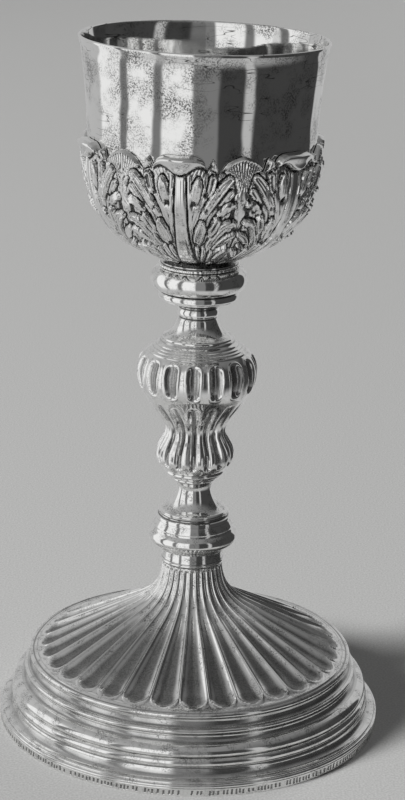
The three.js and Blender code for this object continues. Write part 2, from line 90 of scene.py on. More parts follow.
def bezier(guides: Sequence[Array], count: int = 60) -> Array:
    """Samples a cubic curve.

    Args:
        guides: Its four guide points.
        count: How many samples to take, both ends included.

    Returns:
        An array of (radius, height) rows.
    """
    t = np.linspace(0, 1, count)[:, None]
    line = (1 - t) ** 3 * guides[0] + 3 * t * (1 - t) ** 2 * guides[1]
    return line + 3 * t**2 * (1 - t) * guides[2] + t**3 * guides[3]


def flute_columns(half: Sequence[float], middle: bool) -> Array:
    """Places of a flute's columns, alike on both sides.

    Args:
        half: Those right of its middle line, as shares of its half width.
        middle: Whether a column stands on the middle line.

    Returns:
        Shares from -1 at the left edge to just short of 1.
    """
    return np.array([-1, *(-share for share in reversed(half)), *([0] if middle else []), *half])


def smooth_run(points: Sequence[Point], step: float = 0.35) -> Array:
    """Samples a smooth line through section points.

    Args:
        points: (radius, height) pairs in order.
        step: Spacing of the samples along the line.

    Returns:
        An array of (radius, height) rows, both ends included.
    """
    knots = np.asarray(points, float)
    reach = run_length(knots)
    count = max(int(np.ceil(reach[-1] / step)), 1)
    slopes = np.gradient(knots, reach, axis=0)
    along = np.linspace(0, reach[-1], count + 1)
    left = np.clip(np.searchsorted(reach, along, side="right") - 1, 0, len(knots) - 2)
    span = (reach[left + 1] - reach[left])[:, None]
    u = (along[:, None] - reach[left][:, None]) / span
    return (
        (2 * u**3 - 3 * u**2 + 1) * knots[left]
        + (u**3 - 2 * u**2 + u) * span * slopes[left]
        + (3 * u**2 - 2 * u**3) * knots[left + 1]
        + (u**3 - u**2) * span * slopes[left + 1]
    )


def round_run(centre: Point, size: float, start: float, end: float, step: float = 0.3) -> Array:
    """Samples a round moulding in section.

    Args:
        centre: (radius, height) of its middle.
        size: Its radius.
        start: First angle in degrees, 0 being outward and 90 up.
        end: Last angle in degrees.
        step: Spacing of the samples along the arc.

    Returns:
        An array of (radius, height) rows.
    """
    count = max(int(np.ceil(abs(math.radians(end - start)) * size / step)), 4)
    angle = np.radians(np.linspace(start, end, count + 1))
    return np.column_stack([centre[0] + size * np.cos(angle), centre[1] + size * np.sin(angle)])


def section(*runs: Array | Sequence[Point]) -> Array:
    """Joins runs of section points end to end, without repeating a point.

    Args:
        *runs: Arrays or lists of (radius, height) rows.

    Returns:
        One array of (radius, height) rows.
    """
    line = np.vstack([np.asarray(run, float) for run in runs])
    apart = np.hypot(*np.diff(line, axis=0).T) > 1e-4
    return line[np.r_[True, apart]]


def outward(line: Array) -> Array:
    """Unit normals of a section line, to the right of its direction of travel when it climbs.

    Args:
        line: (radius, height) rows.

    Returns:
        (radius, height) parts of the normal at each row.
    """
    along = np.gradient(line, axis=0)
    along /= np.maximum(np.hypot(along[:, 0], along[:, 1]), 1e-9)[:, None]
    return np.column_stack([along[:, 1], -along[:, 0]])


def smoothstep(value: Array, low: float, high: float) -> Array:
    """0 below low, 1 above high, and a soft change between them."""
    u = np.clip((value - low) / (high - low), 0, 1)
    return u * u * (3 - 2 * u)


def wander(around: Array, up: Array, seed: int, reach: float, waves: int = 9) -> Array:
    """A smooth seamless unevenness over a round surface, about -1 to 1.

    Args:
        around: Angles in radians.
        up: Heights in mm.
        seed: Chooses the pattern.
        reach: The least height in mm over which it changes.
        waves: How many waves are laid over each other.

    Returns:
        The unevenness at each place.
    """
    draw = np.random.default_rng(SEED + seed)
    total = np.zeros(np.broadcast(around, up).shape)
    for _ in range(waves):
        turns = int(draw.integers(1, 8))
        lean = draw.uniform(-1, 1) * 2 * math.pi / reach
        total += np.sin(turns * around + lean * up + draw.uniform(0, 2 * math.pi))
    return total / math.sqrt(waves)


def cavity(places: Array, passes: int, steep: float) -> Array:
    """How far each place of a grid stands above (+) or lies below (-) its surroundings.

    Args:
        places: (row, column, 3) places in mm, with the columns going round.
        passes: How wide the surroundings are.
        steep: The difference that counts as 1, as a share of the grid's spacing.

    Returns:
        (row, column) values from -1 in hollows to 1 on edges.
    """
    soft = places.copy()
    for _ in range(passes):
        rows = np.concatenate([soft[:1], soft, soft[-1:]])
        soft = 0.25 * (rows[:-2] + rows[2:] + np.roll(soft, 1, 1) + np.roll(soft, -1, 1))
    normal = np.cross(np.roll(places, -1, 1) - np.roll(places, 1, 1), np.gradient(places, axis=0))
    normal /= np.maximum(np.linalg.norm(normal, axis=2), 1e-9)[:, :, None]
    spacing = np.linalg.norm(np.roll(places, -1, 1) - places, axis=2)
    spacing = 0.5 * (spacing + np.linalg.norm(np.gradient(places, axis=0), axis=2)) + 0.05
    return np.clip(((places - soft) * normal).sum(2) / (steep * spacing.mean(axis=1, keepdims=True)), -1, 1)


def ring_piece(
    name: str,
    places: Array,
    caps: tuple[float | None, float | None],
    sharp: float = 38,
    tarnish_and_painted_shade: Array | float = 0.0,
    broad: float = 0.3,
) -> bpy.types.Object:
    """Makes a closed mesh of a grid that goes round the axis.

    Args:
        name: Name of the piece.
        places: (row, column, 3) places in mm, from the first ring to the last.
        caps: Heights at which the first and last ring close on the axis, or None where the rows form a loop.
        sharp: Edges that turn more than this, in degrees, stay crisp.
        tarnish_and_painted_shade: (row, column) values from 0 to 1 where the silver is darker than the hollows tell, as
            tarnish and as painted shade.
        broad: Share that wide hollows have in the darkening, which is painted shade there as well as tarnish.

    Returns:
        The new object, with the attribute "relief" on its points.
    """
    rows, columns, _ = places.shape
    points = places.reshape(-1, 3)
    # Low values darken the silver: tarnish in the fine hollows, and painted shade mixed with tarnish in the wide
    # hollows and in the extra darkening passed in.
    relief = np.clip(cavity(places, 2, 0.28) + broad * cavity(places, 26, 0.9) - tarnish_and_painted_shade, -1, 1).ravel()
    index = np.arange(rows * columns).reshape(rows, columns)
    if caps[0] is None:
        index = np.vstack([index, index[:1]])
    turned = np.roll(index, -1, 1)
    quads = np.stack([index[:-1], turned[:-1], turned[1:], index[1:]], axis=-1).reshape(-1, 4)
    fans = []
    for height, ring in zip(caps, (index[0][::-1], index[-1])):
        if height is not None:
            points = np.vstack([points, [[0, 0, height]]])
            relief = np.r_[relief, 0]
            fans.append(np.stack([ring, np.roll(ring, -1), np.full(columns, len(points) - 1)], axis=-1))
    triangles = np.vstack(fans) if fans else np.zeros((0, 3), int)
    corners = np.r_[quads.ravel(), triangles.ravel()]
    starts = np.r_[np.arange(len(quads)) * 4, len(quads) * 4 + np.arange(len(triangles)) * 3]
    mesh = bpy.data.meshes.new(name)
    mesh.vertices.add(len(points))
    mesh.vertices.foreach_set("co", (points * MM).ravel())
    mesh.loops.add(len(corners))
    mesh.loops.foreach_set("vertex_index", corners.astype(np.int32))
    mesh.polygons.add(len(starts))
    mesh.polygons.foreach_set("loop_start", starts.astype(np.int32))
    mesh.update(calc_edges=True)
    mesh.validate()
    mesh.attributes.new("relief", "FLOAT", "POINT").data.foreach_set("value", relief.astype(np.float32))
    mesh.shade_smooth()
    mesh.set_sharp_from_angle(angle=math.radians(sharp))
    piece = bpy.data.objects.new(name, mesh)
    bpy.context.scene.collection.objects.link(piece)
    return piece


def around_axis(radius: Array, height: Array, angles: Array) -> Array:
    """Places of a grid from its radii, heights and angles.

    Args:
        radius: (row, column) radii in mm.
        height: (row, column) heights in mm.
        angles: Angles of the columns in radians, 0 at the front and growing to the right.

    Returns:
        (row, column, 3) places in mm.
    """
    shape = np.broadcast(radius, height, angles).shape
    x = np.broadcast_to(radius * np.sin(angles), shape)
    y = np.broadcast_to(-radius * np.cos(angles), shape)
    return np.stack([x, y, np.broadcast_to(height, shape)], axis=-1)


def turn_line(line: Array, start: float, angles: Array) -> Array:
    """Turns a section line round the axis, with its heights above start."""
    return around_axis(line[:, :1], start + line[:, 1:], angles[None, :])


def lean(places: Array) -> Array:
    """Lowers the right side of the cup and its calyx a little, as the photo shows it.

    The lip comes down as a whole, so that its left side stays inside the frame's box.

    Args:
        places: (row, column, 3) places in mm.

    Returns:
        The places moved.
    """
    moved = places.copy()
    x, z = places[:, :, 0], places[:, :, 2]
    moved[:, :, 2] -= SIDE_DROP * x * smoothstep(z, 190, 232) + LIP_DROP * smoothstep(z, 222, 265)
    return moved


def even_turn(columns: int) -> Array:
    """Evenly spaced angles of a whole turn, in radians."""
    return np.arange(columns) * 2 * math.pi / columns


# Finishes


def linear(code: str) -> Colour:
    """Turns an sRGB hex colour to the linear values that shaders take.

    Args:
        code: Six hex digits, red first.

    Returns:
        Linear red, green and blue, and full alpha.
    """
    parts = [int(code[i : i + 2], 16) / 255 for i in (0, 2, 4)]
    red, green, blue = [c / 12.92 if c <= 0.04045 else ((c + 0.055) / 1.055) ** 2.4 for c in parts]
    return (red, green, blue, 1.0)


def add_node(
    tree: Tree,
    kind: str,
    settings: dict[str | int, object] | None = None,
    links: dict[str | int, Socket] | None = None,
    stops: Sequence[tuple[float, Colour]] = (),
) -> bpy.types.Node:
    """Adds a node with its settings and links.

    Args:
        tree: The tree it goes into.
        kind: Its type name, without the leading ShaderNode.
        settings: Its properties and the fixed values of its inputs.
        links: The sockets that lead into its inputs.
        stops: Places and colours of its ramp, where it has one.

    Returns:
        The node.
    """
    node = tree.nodes.new("ShaderNode" + kind)
    for key, value in (settings or {}).items():
        if isinstance(key, str) and hasattr(node, key):
            setattr(node, key, value)
        else:
            node.inputs[key].default_value = value
    for key, socket in (links or {}).items():
        tree.links.new(socket, node.inputs[key])
    for step, (place, colour) in enumerate(stops):
        ramp = node.color_ramp.elements
        stop = ramp[step] if step < 2 else ramp.new(place)
        stop.position, stop.color = place, colour
    return node


class Worked(Enum):
    """How a silver surface was made, which sets the run of its fine marks."""

    RAISED = "raised from sheet and planished"
    TURNED = "turned on the lathe"
    CHASED = "chased with punches"


@dataclass(frozen=True)
class Silver:
    """Sterling silver with its polish, tarnish and marks.

    Args:
        name: The material's name.
        worked: How the surface was made.
        bright: sRGB of the polished metal.
        dark: sRGB of the tarnish, which is also the colour of the painted shade in the hollows.
        polish: Roughness where it is polished, and where it is dull.
        tarnish: Share of darkening in the hollows, tarnish with painted shade, and of tarnish in blotches on the open
            surface.
        blotch: Width of those blotches in mm.
        marks: Strength of the fine marks.
        dents: Strength of the soft unevenness left by the hammer.
        scratches: Strength of the long hairlines.
    """

    name: str
    worked: Worked
    bright: str = "efefee"
    dark: str = "3c3c3b"
    polish: tuple[float, float] = (0.06, 0.3)
    tarnish: tuple[float, float] = (0.9, 0.35)
    blotch: float = 11.0
    marks: float = 0.3
    dents: float = 0.3
    scratches: float = 0.0

    def material(self) -> bpy.types.Material:
        """Builds the node material.

        Returns:
            The material.
        """
        material = bpy.data.materials.new(self.name)
        material.use_nodes = True
        tree = material.node_tree
        tree.nodes.clear()
        place = add_node(tree, "TexCoord").outputs["Object"]
        relief = add_node(tree, "Attribute", {"attribute_name": "relief"}).outputs["Fac"]
        # Tarnish gathers in blotches, broken by specks of about 0.5 mm, and keeps off the edges.
        blotch, speck = [
            add_node(
                tree,
                "TexNoise",
                {"Scale": 1 / (width * MM), "Detail": detail, "Roughness": 0.6},
                {"Vector": place},
            ).outputs[0]
            for width, detail in ((self.blotch, 5.0), (SPECK, 1.0))
        ]
        marks = self._marks(tree, place)
        specks = self._shift(tree, speck, (0.42, 0.62), 1.0)
        broken = add_node(tree, "MapRange", {"To Min": 0.2, "To Max": 1.6}, {"Value": specks}).outputs[0]
        film = self._shift(tree, blotch, (0.42, 0.66), self.tarnish[1])
        film = add_node(tree, "Math", {"operation": "MULTIPLY"}, {0: film, 1: broken}).outputs[0]
        edge = self._shift(tree, relief, (0.8, 0.1), 1.0)
        film = add_node(tree, "Math", {"operation": "MULTIPLY"}, {0: film, 1: edge}).outputs[0]
        firm = add_node(tree, "MapRange", {"To Min": 0.9, "To Max": 1.04}, {"Value": specks}).outputs[0]
        # Darker where the relief attribute is low: tarnish in the hollows, together with the painted shade that the
        # pieces put into that attribute.
        hollow = self._shift(tree, relief, (-0.12, -0.85), self.tarnish[0])
        hollow = add_node(tree, "Math", {"operation": "MULTIPLY"}, {0: hollow, 1: firm}).outputs[0]
        dark = add_node(tree, "Math", {"operation": "MAXIMUM", "use_clamp": True}, {0: hollow, 1: film}).outputs[0]
        if self.scratches:
            lines = self._hairlines(tree, place)
            dark = add_node(tree, "Math", {"operation": "MAXIMUM"}, {0: dark, 1: lines}).outputs[0]
        colour = add_node(
            tree,
            "Mix",
            {"data_type": "RGBA", 6: linear(self.bright), 7: linear(self.dark)},
            {0: dark},
        ).outputs[2]
        dull = add_node(
            tree, "Math", {"operation": "MULTIPLY_ADD", 1: 0.2, "use_clamp": True}, {0: marks, 2: dark}
        ).outputs[0]
        rough = add_node(
            tree, "MapRange", {"To Min": self.polish[0], "To Max": self.polish[1]}, {"Value": dull}
        ).outputs[0]
        hammer = add_node(tree, "TexNoise", {"Scale": 1 / (DENT * MM), "Detail": 1.0}, {"Vector": place}).outputs[0]
        soft = add_node(tree, "Bump", {"Strength": self.dents, "Distance": 0.5 * MM}, {"Height": hammer}).outputs[0]
        fine = add_node(
            tree, "Bump", {"Strength": self.marks, "Distance": 0.03 * MM}, {"Height": marks, "Normal": soft}
        ).outputs[0]
        inputs = {"Base Color": colour, "Roughness": rough, "Normal": fine}
        shader = add_node(tree, "BsdfPrincipled", {"Metallic": 1.0}, inputs)
        add_node(tree, "OutputMaterial", links={"Surface": shader.outputs[0]})
        return material

    @staticmethod
    def _shift(
        tree: Tree, value: Socket, span: tuple[float, float], top: float
    ) -> Socket:
        """Maps a span of a value to 0 up to top, softly.

        Args:
            tree: The tree.
            value: The value.
            span: Where the result is 0, and where it reaches the top.
            top: The highest result.

        Returns:
            The result.
        """
        settings = {"interpolation_type": "SMOOTHSTEP", "From Min": span[0], "From Max": span[1], "To Max": top}
        return add_node(tree, "MapRange", settings, {"Value": value}).outputs[0]

    def _hairlines(self, tree: Tree, place: Socket) -> Socket:
        """Long thin scratches that wander round the wall, in patches.

        Args:
            tree: The tree.
            place: Object coordinates.

        Returns:
            A value from 0 up to the strength of the scratches.
        """
        # Real scratches are a hair wide. They are drawn about 0.3 mm wide, and 30 mm and more long.
        drawn = add_node(
            tree, "Mapping", {"Scale": (1 / (26 * MM), 1 / (26 * MM), 1 / (4.5 * MM))}, {"Vector": place}
        ).outputs[0]
        noise = add_node(tree, "TexNoise", {"Scale": 1.0, "Detail": 2.0}, {"Vector": drawn}).outputs[0]
        away = add_node(tree, "Math", {"operation": "SUBTRACT", 1: 0.47}, {0: noise}).outputs[0]
        away = add_node(tree, "Math", {"operation": "ABSOLUTE"}, {0: away}).outputs[0]
        line = self._shift(tree, away, (0.009, 0.002), self.scratches)
        patch = add_node(tree, "TexNoise", {"Scale": 1 / (17 * MM), "Detail": 3.0}, {"Vector": place}).outputs[0]
        kept = self._shift(tree, patch, (0.5, 0.58), 1.0)
        return add_node(tree, "Math", {"operation": "MULTIPLY"}, {0: line, 1: kept}).outputs[0]

    def _marks(self, tree: Tree, place: Socket) -> Socket:
        """The fine marks of the tool or the polishing cloth.

        Real ones are a few hundredths of a millimetre wide. They are drawn 0.3 mm and more, so that they show.

        Args:
            tree: The tree.
            place: Object coordinates.

        Returns:
            A value from 0 to 1.
        """
        if self.worked is Worked.CHASED:
            scale = (1 / (0.9 * MM),) * 3
        elif self.worked is Worked.TURNED:
            scale = (1 / (14 * MM), 1 / (14 * MM), 1 / (0.45 * MM))
        else:
            scale = (1 / (7 * MM), 1 / (7 * MM), 1 / (0.5 * MM))
        spread = add_node(tree, "Mapping", {"Scale": scale}, {"Vector": place}).outputs[0]
        return add_node(
            tree, "TexNoise", {"Scale": 1.0, "Detail": 3.0, "Roughness": 0.65}, {"Vector": spread}
        ).outputs[0]


# The pieces


@dataclass
class SilverPart:
    """One piece of the chalice, around the axis, standing at its own height."""

    name: str
    node: str
    slot: str
    start: float
    finish: Silver
    columns: int = 160
    objects: list[bpy.types.Object] = field(default_factory=list)

    def build(self) -> None:
        """Makes the piece's meshes."""
        raise NotImplementedError

    def dress(self) -> None:
        """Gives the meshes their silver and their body."""
        material = self.finish.material()
        for piece in self.objects:
            piece.data.materials.clear()
            piece.data.materials.append(material)
            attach(piece, "root")
            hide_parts(self.node)


@dataclass
class TurnedPart(SilverPart):
    """A turned piece, given by its section from the bottom of its rim to the top, with rows of beads."""

    line: Callable[[], Array] = None
    beads: tuple[tuple[float, float, int, float], ...] = ()

    def build(self) -> None:
        """Turns the section round the axis."""
        line = self.line()
        angles = even_turn(self.columns)
        uneven = 0.05 * wander(angles[None, :], line[:, 1:] + self.start, len(self.name), 30)
        edge = np.minimum(1, np.minimum(line[:, 1], line[-1, 1] - line[:, 1]) / 0.8)[:, None]
        radius = line[:, :1] + uneven * edge
        for height, reach, count, depth in self.beads:
            row = np.exp(-(((line[:, 1:] - height) / reach) ** 4))
            radius = radius - depth * row * np.abs(np.cos(count * angles[None, :] / 2)) ** 3
        places = around_axis(radius, self.start + line[:, 1:], angles[None, :])
        self.objects = [ring_piece(self.name, places, (self.start + line[0, 1], self.start + line[-1, 1]))]


def upper_collar_line() -> Array:
    """Fillet, one fat torus and a small beaded ring under the calyx."""
    torus = round_run((0, 0), 1.0, -78, 84, 0.06) * [4.0, 4.5] + [13.9, 7.5]
    return section(
        [(13.6, 0)],
        smooth_run([(14.3, 0.0), (14.8, 0.4), (14.9, 1.2), (14.8, 2.1), (14.5, 2.5)]),
        [(14.2, 2.8)],
        torus,
        [(14.4, 12.1)],
        round_run((14.6, 12.75), 0.6, -80, 85),
        smooth_run([(14.3, 13.5), (14.2, 14.0)]),
    )


def upper_neck_line() -> Array:
    """Spreading skirt, slim throat with a soft cushion, and flared top."""
    return section(
        smooth_run([(13.3, 0), (13.2, 0.5), (12.7, 0.8)]),
        smooth_run([(12.4, 0.9), (10.8, 1.9), (9.2, 3.6), (8.0, 5.6), (7.2, 7.6)]),
        smooth_run([(6.9, 8.0), (7.0, 8.3), (7.5, 9.0), (7.75, 10.0), (7.5, 11.1), (7.1, 11.7)]),
        smooth_run([(7.1, 11.9), (7.7, 12.5), (9.3, 13.4), (11.7, 14.2), (13.1, 14.6)]),
        smooth_run([(13.4, 14.8), (13.5, 15.1), (13.3, 15.4)]),
    )


def lower_neck_line() -> Array:
    """Rim, trumpet rise and slim throat."""
    return section(
        smooth_run([(12.5, 0), (12.9, 0.25), (12.8, 0.6), (12.4, 0.75)]),
        smooth_run([(12.3, 0.8), (12.7, 1.0), (12.6, 1.4), (12.1, 1.6)]),
        smooth_run([(11.6, 1.7), (10.1, 2.7), (8.4, 4.6), (7.2, 6.9), (6.6, 9.2), (6.9, 11.4), (7.7, 13.2)]),
        round_run((7.8, 13.85), 0.55, -60, 60),
        [(8.3, 14.6)],
    )


def lower_collar_line() -> Array:
    """Soft fillet and torus, which slopes in a hollow line to the upper rim."""
    return section(
        smooth_run([(12.6, 0), (12.7, 0.5), (13.3, 1.2), (14.6, 2.0), (16.0, 2.9), (16.9, 4.1), (17.1, 5.2)], 0.3),
        smooth_run([(17.1, 5.2), (16.8, 6.5), (16.0, 7.6), (15.4, 8.3), (15.2, 8.8)], 0.3),
        smooth_run([(15.2, 8.9), (15.3, 9.4), (15.0, 10.2), (14.6, 11.0), (14.3, 11.6)], 0.3),
        smooth_run([(14.1, 11.9), (14.1, 12.6), (13.9, 13.2)], 0.3),
        [(13.3, 13.5), (13.2, 14.2)],
    )


@dataclass
class Cup(SilverPart):
    """The raised cup: round bowl, nearly straight sides and a lip that spreads a little."""

    bowl_radius: float = 41.7
    bowl_depth: float = 38.0
    fullness: float = 2.08
    bottom_radius: float = 12.0
    lip_spread: float = 3.45
    height: float = 80.7
    wall: float = 1.2
    lip_turn: float = 0.5

    def outside(self) -> Array:
        """The outside in section, from the edge of the flat bottom up to the lip, with heights above the bottom."""
        power = self.fullness
        start = math.asin((self.bottom_radius / self.bowl_radius) ** (power / 2))
        turn = np.linspace(start, math.pi / 2, 70)
        radius = self.bowl_radius * np.sin(turn) ** (2 / power)
        rise = self.bowl_depth * (1 - np.maximum(1 - (radius / self.bowl_radius) ** power, 0) ** (1 / power))
        bowl = np.column_stack([radius, rise - rise[0]])
        foot, top = bowl[-1], np.array([self.bowl_radius + self.lip_spread, self.height])
        climb = top[1] - foot[1]
        guides = np.array([foot, foot + [0, climb / 3], [foot[0] + self.lip_spread / 2, top[1] - climb / 4], top])
        return section(bowl, bezier(guides))

    def build(self) -> None:
        """Makes the cup with its true wall, rounded lip and slight unevenness."""
        shell = self.outside()
        within = (shell - self.wall * outward(shell))[::-1]
        within = within[within[:, 1] < self.height - 0.5]
        within = within[within[:, 1] > self.wall]
        lip = round_run((shell[-1, 0] - 0.6, self.height - 0.55), 0.58, 10, 170, 0.2)
        outer = shell[shell[:, 1] < self.height - 0.6]
        line = section([(11.0, 0.0)], outer, lip, within[::2], [(9.0, self.wall)])
        angles = even_turn(self.columns)
        height = line[:, 1:]
        open_side = smoothstep(height, 30, 48)
        sway = 0.1 * wander(angles[None, :], height, 3, 34) + 0.03 * wander(angles[None, :], height, 4, 9)
        radius = line[:, :1] + sway * open_side * np.minimum(1, (self.height - height + 2) / 10)
        radius = radius + self.lip_turn * smoothstep(height, self.height - 7, self.height) ** 2
        # Streaks of tarnish down the inside.
        streaks = smoothstep(wander(3 * angles[None, :], height, 5, 400), 0.1, 0.5)
        tarnish_and_painted_shade = np.zeros((len(line), self.columns))
        first = len(line) - len(within[::2]) - 1
        tarnish_and_painted_shade[first:] = 0.5 * streaks[first:] * smoothstep(height[first:], 20, 60)
        places = lean(around_axis(radius, self.start + height, angles[None, :]))
        self.objects = [ring_piece(self.name, places, (self.start, self.start + self.wall), tarnish_and_painted_shade=tarnish_and_painted_shade)]


@dataclass(frozen=True)
class Lobe:
    """One lobe of a leaf.

    Args:
        spine: Points from root to tip: degrees from the broad leaf's rib, and mm above the calyx's foot.
        widths: Half widths in mm at those points.
        rise: Height in mm at the root and at the tip.
        hollow: Share by which its middle is sunk.
        veins: Height in mm of the fine ridges that run along it.
    """

    spine: tuple[Point, ...]
    widths: tuple[float, ...]
    rise: tuple[float, float] = (0.5, 1.4)
    hollow: float = 0.3
    veins: float = 0.0


@dataclass
class Calyx(SilverPart):
    """The leaf-worked shell that holds the bowl: six broad leaves with folded tips, and six ribbed ones between."""

    cup: Cup = None
    floor: float = 2.3
    clearance: float = 0.3
    sheet: float = 0.4
    first_leaf: float = -10.3
    # Half a sector in degrees, and the steps in degrees and mm in which its relief is worked.
    half_sector: float = 30
    degree_step: float = 0.1
    height_step: float = 0.12
    tongue: float = 12.4
    tip_edge: tuple[Point, ...] = (
        (0, 46.6), (4, 46.7), (7.5, 46.5), (10, 45.7), (11.6, 44.4), (12.5, 42.3), (13.4, 43.0), (14.6, 45.0),
        (15.6, 45.8), (16.9, 44.8), (18, 42.2), (18.9, 40.8), (20.2, 42.0), (21.6, 43.5), (23.2, 44.6), (26, 45.7),
        (28.5, 46.4), (30, 46.6),
    )
    leaf_edge: tuple[Point, ...] = (
        (30, 0), (30, 15), (28.3, 18), (27.4, 20), (27.6, 23.5), (25, 25), (25.5, 27), (27.6, 28.5), (26.3, 30.5),
        (25.4, 32), (27.2, 34), (26, 36.5), (25.2, 39), (22.5, 40.5), (17, 41), (13, 42.5), (12.5, 46),
    )
    lobes: tuple[Lobe, ...] = (
        # The top tier, from the back forward: a short lobe below, the long finger, an oval, and a drop by the rib.
        Lobe(((17.0, 26.6), (21.0, 30.4), (24.6, 34.0)), (0.6, 1.1, 1.3), (0.6, 1.4), 0.45),
        Lobe(
            ((9.3, 21.5), (12.6, 27.0), (16.3, 31.8), (20.0, 36.0), (23.2, 38.7)),
            (0.9, 1.4, 1.8, 2.0, 1.6), (0.8, 2.2), 0.3, 0.16,
        ),
        Lobe(((13.4, 32.0), (14.6, 35.6), (15.4, 38.9)), (0.6, 1.4, 1.45), (0.9, 2.1), 0.55),
        Lobe(((7.0, 29.0), (7.3, 32.6), (8.0, 36.2), (8.5, 38.7)), (0.6, 1.8, 1.9, 0.9), (0.8, 2.3), 0.12, 0.08),
        Lobe(((15.8, 22.4), (19.4, 25.8), (23.0, 28.6), (26.2, 29.6)), (0.6, 1.2, 1.6, 1.2), (0.8, 1.9), 0.35, 0.08),
        # The middle tier: the same again, smaller.
        Lobe(
            ((13.3, 7.5), (15.8, 13.6), (19.3, 18.8), (23.3, 22.2), (26.4, 23.0)),
            (0.9, 1.5, 1.8, 1.9, 1.4), (0.8, 2.2), 0.3, 0.16,
        ),
        Lobe(((14.6, 16.6), (16.6, 20.0), (18.5, 23.9)), (0.7, 1.6, 1.5), (0.9, 2.2), 0.5),
        Lobe(((8.2, 13.0), (9.2, 16.4), (10.3, 20.0), (10.8, 22.9)), (0.7, 1.9, 2.1, 1.2), (0.9, 2.3), 0.42, 0.06),
        # The lowest tier, and the leaf ends that meet under the ribbed leaf.
        Lobe(((17.6, 10.6), (21.4, 14.0), (25.4, 16.9), (28.4, 18.3)), (0.6, 1.2, 1.5, 1.0), (0.8, 1.8), 0.4, 0.06),
        Lobe(((22.4, 6.2), (25.0, 8.8), (28.0, 11.2)), (0.7, 1.4, 1.5), (0.8, 1.8), 0.45),
        Lobe(((20.0, 10.2), (22.8, 12.4), (26.0, 13.5)), (0.5, 0.8, 0.8), (0.9, 1.9), 0.0),
        Lobe(((9.3, 3.0), (8.9, 7.0), (8.5, 12.4)), (0.8, 1.0, 0.8), (0.5, 1.2), 0.0),
        Lobe(((13.8, 3.0), (13.2, 7.6), (12.3, 13.0)), (0.8, 1.0, 0.7), (0.5, 1.2), 0.0),
        Lobe(((18.6, 3.0), (18.0, 7.0), (17.8, 11.0)), (0.8, 0.9, 0.7), (0.5, 1.3), 0.0),
        # Small leaf tips all round the foot of the calyx.
        Lobe(((7.5, 0.2), (7.5, 2.4), (7.5, 4.2)), (1.6, 1.6, 0.8), (0.9, 1.4), 0.4),
        Lobe(((22.5, 0.2), (22.5, 2.4), (22.5, 4.2)), (1.6, 1.6, 0.8), (0.9, 1.4), 0.4),
    )
    eyes: tuple[tuple[float, float, float], ...] = (
        (6.3, 29.8, 0.95), (12.3, 33.3, 0.75), (18.9, 28.6, 0.8), (7.4, 14.2, 1.0), (13.7, 18.6, 0.65),
        (20.4, 25.0, 0.6), (21.2, 12.9, 0.7), (24.6, 18.6, 0.6), (23.6, 13.4, 0.5), (13.0, 27.6, 0.45),
    )

    def _bowl(self, offset: float) -> Array:
        """The cup's outside moved outward, with heights above the calyx's foot."""
        line = self.cup.outside()
        line = line[line[:, 1] < 60]
        return line + offset * outward(line) + [0, self.floor]

    def _tips(self, degrees: Array) -> Array:
        """Heights of the leaves' edge at degrees from the broad leaf's rib."""
        return np.interp(degrees, *zip(*self.tip_edge))

    def _relief(self) -> tuple[Array, Array, Array]:
        """Works the leaves of half a sector.

        Returns:
            Degrees from the rib, mm above the foot, and (mm, degrees) heights of the relief in mm.
        """
        degrees = np.arange(0, self.half_sector + 0.01, self.degree_step)
        heights = np.arange(0, 47.6, self.height_step)
        base = self._bowl(self.clearance + self.sheet)
        radius = np.interp(heights, base[:, 1], base[:, 0])
        travel = run_length(np.column_stack([radius, heights]))
        a, h = np.meshgrid(degrees, heights)
        per_degree = (radius * math.pi / 180)[:, None]
        arc = travel[:, None]
        top = self._tips(degrees)[None, :]
        below_top = top - h
        work = np.full(a.shape, 0.04)

        # The ribbed leaf, with ribs that spread from its stalk like a fan, and a raised rim.
        b = self.half_sector - a
        fan = np.interp(h, [18, 24, 29, 34, 38, 42, 46.6], [0.15, 0.24, 0.28, 0.36, 0.52, 0.84, 1.12])
        ribs = 0.5 + 0.5 * np.cos(2 * math.pi * b / (1.55 * fan))
        blade = smoothstep(11.8 * fan - b, 0, 0.7) * smoothstep(h, 18, 24)
        rim = np.exp(-(((below_top - 0.55) / 0.5) ** 2))
        ribbed = 0.36 + 0.4 * smoothstep(h, 26, 40) + 0.3 * ribs * smoothstep(below_top, 0.8, 1.6) + 0.8 * rim
        work = work * (1 - blade) + blade * ribbed

        # The small leaf tip that stands between the two kinds.
        small = Lobe(((15.4, 37), (15.6, 41.0), (15.6, 44.2)), (1.3, 1.7, 0.9), (0.9, 2.2), 0.3, 0.0)
        work = self._lay(work, small, a, h, per_degree, arc, travel, heights)

        # The broad leaf's blade.
        edge = np.interp(h[:, 0], [p[1] for p in self.leaf_edge], [p[0] for p in self.leaf_edge])[:, None]
        inside = (edge - a) * per_degree
        work *= 1 - 0.8 * np.exp(-((np.minimum(inside, 0) / 0.7) ** 2)) * (edge < 29.5)
        veins = 0.5 + 0.5 * np.cos(2 * math.pi * (a * per_degree - 0.35 * h) / 1.3)
        leaf = (0.42 + 0.16 * veins) * smoothstep(inside, 0, 0.5)
        work = np.where(inside > 0, leaf, work)
        for lobe in self.lobes:
            work = self._lay(work, lobe, a, h, per_degree, arc, travel, heights)

